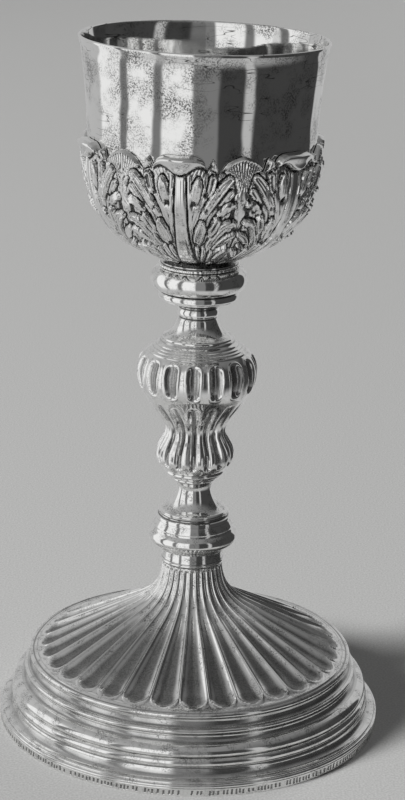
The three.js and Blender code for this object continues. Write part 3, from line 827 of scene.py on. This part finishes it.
        # The rib up its middle, with a cut line along each side.
        half = np.interp(h, [2, 5.5, 8, 12.5, 19, 28, 39, 41], [3.3, 3.1, 2.8, 2.5, 2.2, 2.1, 1.75, 1.7])
        gap = a * per_degree - half
        work *= 1 - np.exp(-(((gap - 0.2) / np.interp(h, [0, 10, 20, 40], [0.75, 0.65, 0.5, 0.42])) ** 2))
        bulge = np.interp(h, [0, 6, 10, 15, 22, 40], [0.4, 1.0, 1.5, 1.35, 1.0, 0.9])
        across = np.clip(a * per_degree / half, 0, 1)
        rib = bulge * (0.7 + 0.3 * np.sqrt(1 - across**2)) + 0.03 * np.cos(2 * math.pi * a * per_degree / 1.15)
        work = np.where(gap < 0, rib * smoothstep(-gap, -0.05, 0.35), work)
        flank = smoothstep(h, 14, 24) * smoothstep(gap, 0.4, 0.8) * (1 - smoothstep(gap, 1.6, 2.2))
        work = np.maximum(work, 0.8 * flank * (h < 42))

        for degree, rise, size in self.eyes:
            away = np.hypot((a - degree) * per_degree, (arc - np.interp(rise, heights, travel)) * 0.75)
            work *= 1 - np.exp(-((away / size) ** 4))

        # The folded tip, which hangs over the rib as a tongue.
        under = np.interp(a, [0, 2.7, 4.5, 5.7, 8.5, 10.6, 12.4], [39.9, 40.4, 41.4, 42.2, 43.2, 42.9, 42.0])
        within = np.minimum(np.minimum(h - under, below_top + 0.25), (self.tongue - a) * per_degree)
        work *= 1 - 0.85 * np.exp(-(((np.minimum(within, 0) + 0.3) / 0.75) ** 2)) * (a < 13)
        fold = np.sqrt(np.clip(1 - (1 - np.clip(within / 1.1, 0, 1)) ** 2, 0, 1))
        hang = 2.1 + 0.5 * np.cos(math.pi * a / self.tongue) + 0.3 * smoothstep(below_top, 4, 1)
        work = np.where(within > 0, fold * hang, work)
        swell = (0.55 + 0.65 * smoothstep(h, 0, 16)) * (0.3 + 0.7 * smoothstep(below_top, 0, 0.9))
        return degrees, heights, np.maximum(work, 0) * swell

    @staticmethod
    def _lay(
        work: Array,
        lobe: Lobe,
        a: Array,
        h: Array,
        per_degree: Array,
        arc: Array,
        travel: Array,
        heights: Array,
    ) -> Array:
        """Lays a lobe over the relief, with a cut line round it.

        Args:
            work: The relief so far, in mm.
            lobe: The lobe.
            a: Degrees from the rib.
            h: Heights above the calyx's foot; not used.
            per_degree: Millimetres to a degree at each height.
            arc: Distance up the bowl's surface at each height.
            travel: The same, as one row.
            heights: The heights of the rows.

        Returns:
            The relief with the lobe.
        """
        spine = smooth_run(lobe.spine, 0.3)
        knots = np.asarray(lobe.spine, float)
        reach = run_length(knots)
        share = np.linspace(0, 1, len(spine))
        widths = np.interp(share * reach[-1], reach, lobe.widths)
        nearest = np.full(a.shape, np.inf)
        along = np.zeros(a.shape)
        aside = np.zeros(a.shape)
        for (degree, rise), width, step in zip(spine, widths, share):
            away = (a - degree) * per_degree
            ratio = np.hypot(away, arc - np.interp(rise, heights, travel)) / width
            closer = ratio < nearest
            nearest = np.where(closer, ratio, nearest)
            along = np.where(closer, step, along)
            aside = np.where(closer, away / width, aside)
        width = np.interp(along, share, widths)
        out = (nearest - 1) * width
        free = smoothstep(along, 0.02, 0.3)
        # The cut is deep on the side of the rib, and only a line on the other.
        cut = 0.45 + 0.55 * smoothstep(-aside, -0.5, 0.3)
        work = work * (1 - free * cut * np.exp(-((np.maximum(out, 0) / (0.3 + 0.3 * cut)) ** 2)) * (out > 0))
        lift = np.clip(1 - nearest**2.6, 0, 1) ** 0.42
        sunk = lobe.hollow * np.exp(-((nearest / 0.52) ** 2.4)) * smoothstep(along, 0.1, 0.5)
        body = (lobe.rise[0] + (lobe.rise[1] - lobe.rise[0]) * along) * lift * (1 - sunk)
        body = body + lobe.veins * np.cos(2 * math.pi * nearest * width / 1.15) * np.clip(1 - nearest**4, 0, 1)
        over = (out < 0) * smoothstep(along, 0.0, 0.25)
        return work * (1 - over) + over * np.maximum(body, work * (1 - free))

    def build(self) -> None:
        """Makes the calyx from its worked outside, its leaf edge and its lining."""
        degrees, heights, work = self._relief()
        angles = even_turn(self.columns)
        turn = np.degrees(angles)[None, :] - self.first_leaf
        folded = np.abs((turn + self.half_sector) % (2 * self.half_sector) - self.half_sector)
        tips = self._tips(folded[0])
        top = tips + 0.3 * wander(angles, np.zeros(1), 11, 40)
        share = np.r_[
            np.linspace(0, 0.12, 14)[:-1], np.linspace(0.12, 0.34, 22)[:-1], np.linspace(0.34, 0.55, 24)[:-1],
            np.linspace(0.55, 0.72, 12)[:-1], np.linspace(0.72, 1, 37),
        ][:, None]
        height = share * top[None, :]
        stray = 0.4 * wander(angles[None, :], height, 12, 60)
        climb = 0.25 * wander(angles[None, :], height, 13, 60)
        a = np.abs((turn + stray + self.half_sector) % (2 * self.half_sector) - self.half_sector)
        h = np.clip(height * (tips / top)[None, :] + climb * (1 - share**4), 0, 47)
        column = np.clip(a / self.degree_step, 0, len(degrees) - 1.001)
        row = np.clip(h / self.height_step, 0, len(heights) - 1.001)
        i, j = row.astype(int), column.astype(int)
        fi, fj = row - i, column - j
        relief = (work[i, j] * (1 - fi) + work[i + 1, j] * fi) * (1 - fj)
        relief = relief + (work[i, j + 1] * (1 - fi) + work[i + 1, j + 1] * fi) * fj
        base = self._bowl(self.clearance + self.sheet)
        normal = outward(base)
        radius = np.interp(height, base[:, 1], base[:, 0])
        out = np.interp(height, base[:, 1], normal[:, 0])
        up = np.interp(height, base[:, 1], normal[:, 1])
        curl = 0.9 * smoothstep(height, 40, 46.5) * (folded < 12)
        nest = self._bowl(self.clearance)
        low = np.array([[1.0], [0.82], [0.66], [0.5], [0.36], [0.22], [0.12]])
        inner_height = self.floor + low * (top[None, :] - self.floor)
        places = np.concatenate([
            around_axis(radius + out * relief + curl, self.start + height + up * relief, angles[None, :]),
            around_axis(np.interp(inner_height, nest[:, 1], nest[:, 0]), self.start + inner_height, angles[None, :]),
            turn_line(np.array([[12.3, self.floor]]), self.start, angles),
        ])
        tarnish_and_painted_shade = np.zeros(places.shape[:2])
        # Painted shade, with tarnish, on the low ground between the lobes: the lower the relief, the darker.
        tarnish_and_painted_shade[: len(height)] = 0.75 * (1 - smoothstep(relief, 0.05, 0.75))
        self.objects = [ring_piece(self.name, lean(places), (self.start, self.start + self.floor), 60, tarnish_and_painted_shade)]


@dataclass
class Knop(SilverPart):
    """The vase-shaped knop: round-headed flutes on its shoulder and long ones down its waist."""

    flutes: int = 16
    first_flute: float = -2.6
    shoulder_depth: float = 1.35
    waist_depth: float = 1.7
    height: float = 54.6
    line: tuple[Point, ...] = (
        (12.9, 4.3), (14.2, 6.2), (14.75, 8.7), (14.3, 11.4), (12.6, 14.6), (11.2, 17.2), (11.3, 20), (12.9, 23.4),
        (15.7, 27.2), (18.8, 31.4), (21.1, 35.4), (22.3, 39.6), (22.5, 42.6), (21.8, 45.8), (20.2, 48.4), (19.0, 49.6),
    )

    def build(self) -> None:
        """Makes the knop."""
        body = smooth_run(self.line, 0.4)
        share = flute_columns((0.2, 0.36, 0.5, 0.6, 0.67, 0.73, 0.79, 0.85, 0.92), True)
        pitch = 2 * math.pi / self.flutes
        angles = ((np.arange(self.flutes)[:, None] + share[None, :] / 2) * pitch).ravel()
        angles = angles + math.radians(self.first_flute)
        across = np.tile(share, self.flutes)[None, :] * pitch / 2
        radius, height = body[:, :1], body[:, 1:]
        x = across * radius
        normal = outward(body)
        way = run_length(body)[:, None]
        place_at = lambda rise: np.interp(rise, body[:, 1], way[:, 0])
        depth = np.zeros((len(body), len(angles)))
        upper = np.interp(height, [34, 40, 44, 48.5], [2.0, 2.55, 2.75, 2.5])
        lower = np.interp(height, [5, 8.5, 12, 17.5, 22, 28, 33.5], [1.95, 1.9, 1.6, 1.35, 1.65, 2.4, 2.9])
        slots = np.full_like(height, self.shoulder_depth)
        waist = self.waist_depth * np.interp(height, [5, 10, 18, 25, 33], [0.8, 0.9, 1, 0.62, 0.22])
        for half, start, end, full, rim_high in ((upper, 35.6, 48.6, slots, 0.3), (lower, 5.2, 32.6, waist, 0.0)):
            first, last = place_at(start), place_at(end)
            past = np.maximum(np.maximum(first + half - way, way - (last - half)), 0)
            inside = half - np.hypot(x, past)
            share_in = np.clip(inside / half, 0, 1)
            # The slots have firm edges, and the flutes of the waist soft ones.
            hollow = full * (1 - (1 - share_in) ** 2 if rim_high else share_in**2 * (3 - 2 * share_in))
            rim = rim_high * np.exp(-(((inside + 0.2) / 0.5) ** 2))
            depth = depth + np.where(inside > 0, hollow, 0) - rim
        crown = np.interp(height, [5, 12, 17.5, 26, 36], [0.1, 0.5, 0.55, 0.3, 0]) * (np.abs(across / (pitch / 2))) ** 2
        out = -depth + crown * smoothstep(height, 4, 9) * smoothstep(height, 37, 31)
        worked = around_axis(radius + normal[:, :1] * out, self.start + height + normal[:, 1:] * out, angles[None, :])
        below = section(
            [(8.6, 0)],
            smooth_run([(9.4, 0.2), (10.6, 0.8), (11.2, 1.6)]),
            smooth_run([(11.35, 1.9), (11.5, 2.4), (11.2, 2.8)]),
            smooth_run([(11.0, 3.0), (11.8, 3.3), (12.4, 3.8)]),
        )
        above = section(
            smooth_run([(18.75, 49.8), (18.6, 50.15), (18.2, 50.45), (17.85, 50.6)], 0.25),
            smooth_run([(17.65, 50.75), (17.4, 51.1), (17.0, 51.3), (16.75, 51.35)], 0.25),
            smooth_run([(16.55, 51.5), (16.3, 51.85), (15.9, 52.1), (15.6, 52.2)], 0.25),
            smooth_run([(15.4, 52.35), (15.1, 52.8), (14.6, 53.2), (14.2, 53.5)], 0.25),
            [(13.9, 53.8), (13.6, self.height)],
        )
        rings = [turn_line(line, self.start, angles) for line in (below, above)]
        places = np.concatenate([rings[0], worked, rings[1]])
        tarnish_and_painted_shade = np.zeros(places.shape[:2])
        # Painted shade, with tarnish, in the deep flutes of the waist.
        tarnish_and_painted_shade[len(below) : len(below) + len(body)] = 0.6 * smoothstep(depth, 0.6, 1.5) * (height < 30)
        self.objects = [ring_piece(self.name, places, (self.start, self.start + self.height), 80, tarnish_and_painted_shade, 0.12)]


@dataclass
class Foot(SilverPart):
    """The moulded and fluted foot, hollow below."""

    flutes: int = 32
    first_flute: float = 2.0
    flute_depth: float = 1.8
    flute_end: float = 58.7
    plateau: float = 27.3
    slope: float = 0.518
    bend: float = 22.4
    neck: float = 11.3
    flutes_top: float = 63.5
    flute_share: float = 0.93
    height: float = 69.2
    lining_top: float = 62.8
    band_radius: float = 74.0
    # Heights of the hollows between the mouldings, with the share of painted shade and tarnish that darkens them.
    coves: tuple[Point, ...] = (
        (3.5, 0.0), (5.2, 0.1), (6.4, 0.4), (7.8, 0.25), (8.6, 0.0), (12.2, 0.0), (12.8, 0.3), (13.3, 0.0), (15.8, 0.0),
        (16.9, 0.35), (18.4, 0.3), (19.6, 0.05), (20.4, 0.0), (21.4, 0.05), (22.0, 0.4), (23.8, 0.35), (25.2, 0.05),
        (26.0, 0.0), (27.0, 0.4), (27.5, 0.3),
    )

    def _trumpet(self) -> Array:
        """The line of the trumpet, from the flutes' ends to their tops, with fine steps at both ends."""
        bend = np.array([self.bend, self.plateau + (self.flute_end - self.bend) * self.slope])
        reach = self.bend - self.neck
        guides = [
            bend,
            bend + [-0.7 * reach, 0.7 * reach * self.slope],
            np.array([self.neck + 0.05 * reach, (bend[1] + self.flutes_top) / 2]),
            np.array([self.neck, self.flutes_top]),
        ]
        start = np.array([[self.flute_end + 0.6, self.plateau], [self.flute_end, self.plateau + 0.1]])
        line = np.vstack([start, bezier(guides)])
        way = run_length(line)
        steps = np.r_[
            np.arange(0, 7, 0.42), np.arange(7, way[-1] - 5, 1.25), np.arange(way[-1] - 5, way[-1], 0.5), way[-1]
        ]
        return np.column_stack([np.interp(steps, way, line[:, 0]), np.interp(steps, way, line[:, 1])])

    def _mouldings(self) -> Array:
        """The mouldings from the standing ring up to the plateau."""
        return section(
            [(73.2, 0.0), (73.5, 0.2), (73.5, 3.2)],
            round_run((73.1, 3.7), 0.85, -35, 100, 0.35),
            round_run((72.35, 4.75), 0.62, -30, 110, 0.35),
            smooth_run([(72.0, 5.35), (70.9, 5.55), (69.8, 6.3), (69.2, 7.4), (69.0, 8.4)], 0.5),
            round_run((67.2, 10.4), 2.1, -48, 78, 0.45),
            smooth_run([(67.3, 12.6), (67.5, 12.8), (68.2, 12.9)], 0.4),
            smooth_run([(68.6, 13.2), (68.75, 14.0), (68.3, 15.2), (67.2, 16.2), (66.0, 16.7)], 0.45),
            smooth_run([(65.5, 16.75), (64.3, 17.2), (63.6, 18.2), (63.5, 19.3), (63.7, 19.9)], 0.45),
            smooth_run([(64.1, 20.1), (64.35, 20.7), (64.15, 21.4), (63.6, 21.7)], 0.35),
            smooth_run([(63.2, 21.7), (62.2, 22.2), (61.6, 23.3), (61.5, 24.6), (61.7, 25.2)], 0.45),
            smooth_run([(62.1, 25.3), (62.45, 25.9), (62.3, 26.7), (61.8, 27.1)], 0.3),
            smooth_run([(61.3, 26.9), (61.0, 26.75), (60.7, 26.9)], 0.3),
            smooth_run([(60.4, 27.2), (60.0, 27.45), (59.6, 27.35)], 0.3),
        )

    def build(self) -> None:
        """Makes the foot and the marked band round its edge."""
        share = flute_columns((0.16, 0.42, 0.63, 0.77, 0.85, 0.91, 0.96), False)
        pitch = 2 * math.pi / self.flutes
        draw = np.random.default_rng(SEED + 5)
        shifts = draw.normal(0, 0.045, self.flutes)[:, None] * (1 - np.abs(share[None, :]) ** 2)
        angles = ((np.arange(self.flutes)[:, None] + (share[None, :] + shifts) / 2) * pitch).ravel()
        angles = angles + math.radians(self.first_flute)
        across = np.tile(share, self.flutes)[None, :] * pitch / 2
        line = self._trumpet()
        radius, height = line[:, :1], line[:, 1:]
        way = run_length(line)[:, None]
        half = self.flute_share * radius * pitch / 2
        x = across * radius
        end = 0.7
        first_half = self.flute_share * self.flute_end * pitch / 2
        past_low = np.maximum(end + first_half - way, 0)
        past_high = np.maximum(way - (way[-1] - 1.6), 0)
        inside = np.minimum(
            np.where(past_low > 0, first_half - np.hypot(x * first_half / half, past_low), half - np.abs(x)),
            half - np.hypot(x, past_high),
        )
        reach = way[-1, 0]
        depths = [0.45, 0.75, 0.95, 0.75, 0.34, 0.24, 0.24]
        full = self.flute_depth * np.interp(way, [0, 4, 14, 30, 48, reach - 3, reach], depths)
        deep = 1 + draw.normal(0, 0.06, self.flutes)
        full = full * np.repeat(deep, len(share))[None, :]
        bowl = full * (1 - (1 - np.clip(inside / (half * 0.9), 0, 1)) ** 2)
        rim_high = 0.26 * np.interp(way, [0, 25, reach], [1, 0.75, 0.4])
        rim = rim_high * np.exp(-(((inside + 0.05) / np.interp(way, [0, 30, reach], [0.34, 0.26, 0.16])) ** 2))
        valley = 0.25 * np.interp(way, [0, 30, reach], [1, 0.6, 0.3]) * smoothstep(-inside, 0.1, 0.9)
        out = rim - np.where(inside > 0, bowl, 0) - valley * smoothstep(way, 0.4, 1.4)
        out = out * smoothstep(way, 0.0, 0.5)
        normal = outward(line)
        turned = angles[None, :]
        worked = around_axis(radius + normal[:, :1] * out, height + normal[:, 1:] * out, turned)
        moulded = self._mouldings()
        uneven = 0.1 * wander(turned, moulded[:, 1:], 21, 60) * smoothstep(moulded[:, 1:], 2.5, 8)
        crown = section(
            smooth_run([(11.6, 64.0), (12.1, 64.3), (12.1, 64.8), (11.8, 65.1)], 0.3),
            smooth_run([(11.7, 65.2), (11.5, 67.0), (11.3, 68.6)], 0.6),
            [(11.2, self.height)],
        )
        lining = np.array([
            (8.6, 62.2), (8.7, 54.8), (12.5, 49.5), (19.4, 44.9), (40.0, 33.6), (55.7, 25.5), (59.3, 20.4),
            (61.4, 12.5), (64.4, 8.3), (70.6, 2.1), (70.6, 0.0),
        ])
        places = np.concatenate([
            turn_line(lining, 0, angles),
            around_axis(moulded[:, :1] + uneven, moulded[:, 1:], turned),
            worked,
            turn_line(crown, 0, angles),
        ])
        tarnish_and_painted_shade = np.zeros(places.shape[:2])
        first = len(lining)
        # Painted shade, with tarnish, in the coves between the mouldings.
        tarnish_and_painted_shade[first : first + len(moulded)] = np.interp(moulded[:, 1], *zip(*self.coves))[:, None]
        first += len(moulded)
        # Painted shade, with tarnish, in the deep flutes; their rims and the upper trumpet are lightened as rubbed
        # silver with a painted highlight.
        rubbed_and_highlit = 0.6 * rim / rim_high + 0.3 * smoothstep(way, 34, 48)
        tarnish_and_painted_shade[first : first + len(line)] = 0.4 * smoothstep(bowl, 0.4, 1.5) - rubbed_and_highlit
        self.objects = [ring_piece(self.name, places, (self.lining_top, self.height), 48, tarnish_and_painted_shade, 0.0), self._band()]

    def _band(self) -> bpy.types.Object:
        """The upright edge of the flange, with its row of shallow strokes that spell nothing.

        Returns:
            The band.
        """
        columns = 2304
        angles = even_turn(columns)
        draw = np.random.default_rng(SEED + 8)
        face = smooth_run([(self.band_radius, 0.15), (self.band_radius, 3.1)], 0.22)
        line = section([(73.3, 0.02), (73.9, 0.02)], face, [(73.9, 3.3), (73.3, 3.3)])
        height = line[:, 1:]
        x = angles[None, :] * self.band_radius
        cut = np.zeros((len(line), columns))
        place = 2.0
        while place < 2 * math.pi * self.band_radius - 2:
            low, high = draw.uniform(0.6, 1.1), draw.uniform(2.2, 2.7)
            slant = draw.uniform(0.0, 0.12)
            stroke = np.exp(-(((x - place - slant * (height - 1.6)) / 0.42) ** 2))
            stroke = stroke * smoothstep(height, low - 0.15, low + 0.15)
            cut = np.maximum(cut, stroke * (1 - smoothstep(height, high - 0.15, high + 0.15)))
            place += draw.choice([1.3, 1.7, 2.1, 3.2], p=[0.35, 0.35, 0.2, 0.1])
        radius = line[:, :1] - 0.3 * cut * (line[:, :1] > 73.95)
        places = around_axis(radius, height, angles[None, :])
        return ring_piece("foot_band", places, (None, None), 60, 0.2 + 0.8 * cut, 0.0)


# The studio


class Tone(Enum):
    """How bright a stretch of the room is, as linear light."""

    DARK = 0.05
    DIM = 0.2
    PALE = 0.5
    WINDOW = 0.9


Walls = list[tuple[float, Tone]]
# Half the width in degrees over which one stretch of wall turns into the next.
SOFT_EDGE = 1.3


@dataclass(frozen=True)
class Room:
    """A plain room: equal windows along the left, a dark right side with a doorway, a pale wall behind.

    Angles are degrees round from the camera, and 90 lies to its right.

    Args:
        windows: How many windows there are.
        first_window: Angle at which the first one starts.
        window_width: Width of each in degrees.
        pier_width: Width in degrees of the wall between two of them.
        dark_side: Angles between which the right side is dark.
        doorway: Angles between which a paler doorway stands in it.
        walls_rise: Span of the direction's upward part over which the ground turns into the walls.
        ceiling_rise: The same for the walls and the ceiling.
    """

    windows: int = 3
    first_window: float = -120.0
    window_width: float = 30.0
    pier_width: float = 10.0
    dark_side: tuple[float, float] = (15.0, 135.0)
    doorway: tuple[float, float] = (40.0, 50.0)
    walls_rise: tuple[float, float] = (-0.7, -0.4)
    ceiling_rise: tuple[float, float] = (0.5, 0.75)

    def walls(self) -> Walls:
        """Lists where each stretch of wall starts, and its tone.

        Returns:
            The stretches, from behind the chalice and round by the left.
        """
        stretches: Walls = [(-180.0, Tone.PALE)]
        for number in range(self.windows):
            edge = self.first_window + number * (self.window_width + self.pier_width)
            stretches += [(edge, Tone.WINDOW), (edge + self.window_width, Tone.DIM)]
        dark_from, dark_to = self.dark_side
        door_from, door_to = self.doorway
        return stretches + [
            (dark_from, Tone.DARK), (door_from, Tone.PALE), (door_to, Tone.DARK), (dark_to, Tone.PALE),
        ]


@dataclass
class Studio:
    """The camera, the pale floor and the soft light round the chalice."""

    focal_pixels: float = 2151.0
    frame_pixels: tuple[int, int] = (405, 800)
    eye: tuple[float, float, float] = (0.0, -0.7759, 0.3689)
    yaw: float = -0.18
    pitch: float = 17.26
    roll: float = 1.46
    room: Room = Room()

    def camera(self) -> None:
        """Sets the camera where the picture was taken from."""
        yaw, pitch, roll = (math.radians(v) for v in (self.yaw, self.pitch, self.roll))
        base = np.array([[1, 0, 0], [0, 0, -1], [0, 1, 0]], float)
        turn_y = np.array([[math.cos(yaw), 0, math.sin(yaw)], [0, 1, 0], [-math.sin(yaw), 0, math.cos(yaw)]])
        turn_x = np.array([[1, 0, 0], [0, math.cos(pitch), -math.sin(pitch)], [0, math.sin(pitch), math.cos(pitch)]])
        turn_z = np.array([[math.cos(roll), -math.sin(roll), 0], [math.sin(roll), math.cos(roll), 0], [0, 0, 1]])
        right, down, ahead = turn_z @ turn_x @ turn_y @ base
        data = bpy.data.cameras.new("camera")
        data.sensor_width = 36.0
        data.lens = self.focal_pixels * data.sensor_width / max(self.frame_pixels)
        data.clip_start, data.clip_end = 0.05, 60.0
        camera = bpy.data.objects.new("camera", data)
        bpy.context.scene.collection.objects.link(camera)
        turn = Matrix(np.column_stack([right, -down, -ahead]).tolist())
        camera.matrix_world = Matrix.Translation(self.eye) @ turn.to_4x4()
        bpy.context.scene.camera = camera

    def floor(self) -> None:
        """Lays a large plain floor of pale matt paper. The silver mirrors only the part around the foot."""
        near, far = 0.12, 9.0
        corners = [(-1, -1), (1, -1), (1, 1), (-1, 1)]
        inner, outer = ([(size * x, size * y, 0) for x, y in corners] for size in (near, far))
        frame_faces = [(i, (i + 1) % 4, 4 + (i + 1) % 4, 4 + i) for i in range(4)]
        paper = self._paper()
        for name, points, faces in (
            ("floor_near", inner, [(0, 1, 2, 3)]),
            ("floor_far", outer + inner, frame_faces),
        ):
            mesh = bpy.data.meshes.new(name)
            mesh.from_pydata(points, [], faces)
            mesh.materials.append(paper)
            sheet = bpy.data.objects.new(name, mesh)
            bpy.context.scene.collection.objects.link(sheet)
            sheet.visible_glossy = name == "floor_near"

    @staticmethod
    def _paper() -> bpy.types.Material:
        """Makes the floor's matt paper.

        Returns:
            The material.
        """
        material = bpy.data.materials.new("paper_matt")
        material.use_nodes = True
        tree = material.node_tree
        tree.nodes.clear()
        place = add_node(tree, "TexCoord").outputs["Object"]
        # Paper fibre is finer than a pixel, so it is drawn about 0.8 mm wide.
        grain = add_node(tree, "TexNoise", {"Scale": 1 / (0.8 * MM), "Detail": 2.0}, {"Vector": place}).outputs[0]
        tone = add_node(
            tree, "ValToRGB", links={0: grain}, stops=((0.3, linear("b0b0af")), (0.7, linear("c8c8c7")))
        ).outputs[0]
        matt = {"Roughness": 0.95, "Specular IOR Level": 0.1}
        shader = add_node(tree, "BsdfPrincipled", matt, {"Base Color": tone})
        add_node(tree, "OutputMaterial", links={"Surface": shader.outputs[0]})
        return material

    @staticmethod
    def _edges(walls: Walls) -> list[tuple[float, Colour]]:
        """Turns stretches of wall to the stops of a ramp, with a soft edge between each two.

        Args:
            walls: Where each stretch starts, and its tone.

        Returns:
            Places from 0 to 1 and colours.
        """
        stops = []
        for (_, before), (start, after) in zip(walls, walls[1:]):
            for degree, tone in ((start - SOFT_EDGE, before), (start + SOFT_EDGE, after)):
                stops.append(((degree + 180) / 360, Studio._grey(tone)))
        return stops

    @staticmethod
    def _grey(tone: Tone) -> Colour:
        """Turns a tone to a grey colour."""
        return (tone.value, tone.value, tone.value, 1)

    def surroundings(self) -> None:
        """Paints the room round the chalice, which the polished silver mirrors."""
        world = bpy.data.worlds.new("studio")
        bpy.context.scene.world = world
        world.use_nodes = True
        tree = world.node_tree
        tree.nodes.clear()
        way = add_node(tree, "TexCoord").outputs["Generated"]
        part = add_node(tree, "SeparateXYZ", links={0: way}).outputs
        front = add_node(tree, "Math", {"operation": "MULTIPLY", 1: -1.0}, {0: part[1]}).outputs[0]
        turn = add_node(tree, "Math", {"operation": "ARCTAN2"}, {0: part[0], 1: front}).outputs[0]
        share = add_node(tree, "MapRange", {"From Min": -math.pi, "From Max": math.pi}, {"Value": turn}).outputs[0]
        walls = add_node(tree, "ValToRGB", links={0: share}, stops=self._edges(self.room.walls())).outputs[0]
        # The ceiling is lit from the windows, so it falls off to the right.
        across = add_node(tree, "MapRange", {"From Min": -1.0, "From Max": 1.0}, {"Value": part[0]}).outputs[0]
        fall = ((0.0, self._grey(Tone.PALE)), (1.0, self._grey(Tone.DARK)))
        ceiling = add_node(tree, "ValToRGB", links={0: across}, stops=fall).outputs[0]
        # From the ground up: a pale ground, the walls, and the ceiling.
        to_walls, to_ceiling = [
            add_node(
                tree,
                "MapRange",
                {"interpolation_type": "SMOOTHSTEP", "From Min": low, "From Max": high},
                {"Value": part[2]},
            ).outputs[0]
            for low, high in (self.room.walls_rise, self.room.ceiling_rise)
        ]
        below = add_node(
            tree, "Mix", {"data_type": "RGBA", 6: self._grey(Tone.PALE)}, {0: to_walls, 7: walls}
        ).outputs[2]
        layers = add_node(tree, "Mix", {"data_type": "RGBA"}, {0: to_ceiling, 6: below, 7: ceiling}).outputs[2]
        # The floor takes most of its light from the lamps, so that the shadow stays clear.
        spread = add_node(tree, "LightPath").outputs["Is Diffuse Ray"]
        strength = add_node(tree, "MapRange", {"To Min": 1.0, "To Max": 0.04}, {"Value": spread}).outputs[0]
        light = add_node(tree, "Background", links={"Color": layers, "Strength": strength})
        add_node(tree, "OutputWorld", links={"Surface": light.outputs[0]})

    def lamp(
        self,
        name: str,
        place: tuple[float, float, float],
        target: tuple[float, float, float],
        size: float,
        power: float,
    ) -> None:
        """Hangs a soft square light.

        Args:
            name: Its name.
            place: Where it hangs, in metres.
            target: Where it points.
            size: Its side in metres.
            power: Its power in watts.
        """
        data = bpy.data.lights.new(name, "AREA")
        data.shape, data.size, data.energy = "SQUARE", size, power
        lamp = bpy.data.objects.new(name, data)
        bpy.context.scene.collection.objects.link(lamp)
        lamp.location = place
        aim = Vector(target) - Vector(place)
        lamp.rotation_euler = aim.to_track_quat("-Z", "Y").to_euler()
        lamp.visible_glossy = False

    def build(self) -> None:
        """Sets up the whole studio."""
        self.camera()
        self.floor()
        self.surroundings()
        self.lamp("key_window", (-5.0, -3.0, 3.5), (0, 0, 0.05), 2.0, 700.0)
        self.lamp("back_fill", (2.0, 3.0, 2.0), (0, 0.5, 0.0), 1.5, 40.0)
        view = bpy.context.scene.view_settings
        view.view_transform = "Standard"


def chalice_parts() -> list[SilverPart]:
    """Lists the pieces from the foot up, each with its finish.

    Returns:
        The pieces, not yet built.
    """
    # Each finish is sterling silver. Light slides along turned rings, breaks up over chased work,
    # and wavers on a planished wall; tarnish and painted shade keep to the hollows.
    raised = Silver(
        "silver_raised_and_polished", Worked.RAISED, polish=(0.0, 0.24), tarnish=(0.7, 0.52), marks=0.12, scratches=0.9
    )
    chased = Silver(
        "silver_chased_and_tarnished", Worked.CHASED, "ececeb", polish=(0.05, 0.4), tarnish=(1.0, 0.5), blotch=5.0
    )
    turned = Silver("silver_turned", Worked.TURNED, "f4f4f3", polish=(0.02, 0.34), tarnish=(0.9, 0.36), blotch=4.0)
    fluted = Silver(
        "silver_fluted_knop", Worked.CHASED, "f4f4f3", polish=(0.02, 0.34), tarnish=(0.62, 0.24), blotch=4.0
    )
    spun = Silver(
        "silver_spun_and_fluted_foot", Worked.TURNED, "f4f4f3", polish=(0.03, 0.36), tarnish=(0.8, 0.42), blotch=6.0
    )
    cup = Cup("cup_raised", "cup", "cup_silver", 184.3, raised, 256)
    return [
        Foot("foot_moulded", "foot", "foot_silver", 0.0, spun),
        TurnedPart("collar_lower", "lower_collar", "stem_silver", 69.2, turned, line=lower_collar_line),
        TurnedPart("neck_lower", "lower_neck", "stem_silver", 83.4, turned, line=lower_neck_line),
        Knop("knop_fluted", "knop", "knop_silver", 98.0, fluted),
        TurnedPart("neck_upper", "upper_neck", "stem_silver", 152.6, turned, line=upper_neck_line),
        TurnedPart(
            "collar_upper", "upper_collar", "stem_silver", 168.0, turned, 480, line=upper_collar_line,
            beads=((12.75, 0.7, 52, 0.14),),
        ),
        Calyx("calyx_leaves", "calyx", "calyx_silver", 182.0, chased, 864, cup=cup),
        cup,
    ]


def main() -> None:
    """Builds the studio and the chalice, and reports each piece."""
    logging.basicConfig(level=logging.INFO, format="%(message)s")
    Studio().build()
    for part in chalice_parts():
        part.build()
        part.dress()
        for piece in part.objects:
            count = sum(len(face.vertices) - 2 for face in piece.data.polygons)
            log.info("%s: %d triangles", piece.name, count)


if __name__ == "__main__":
    main()
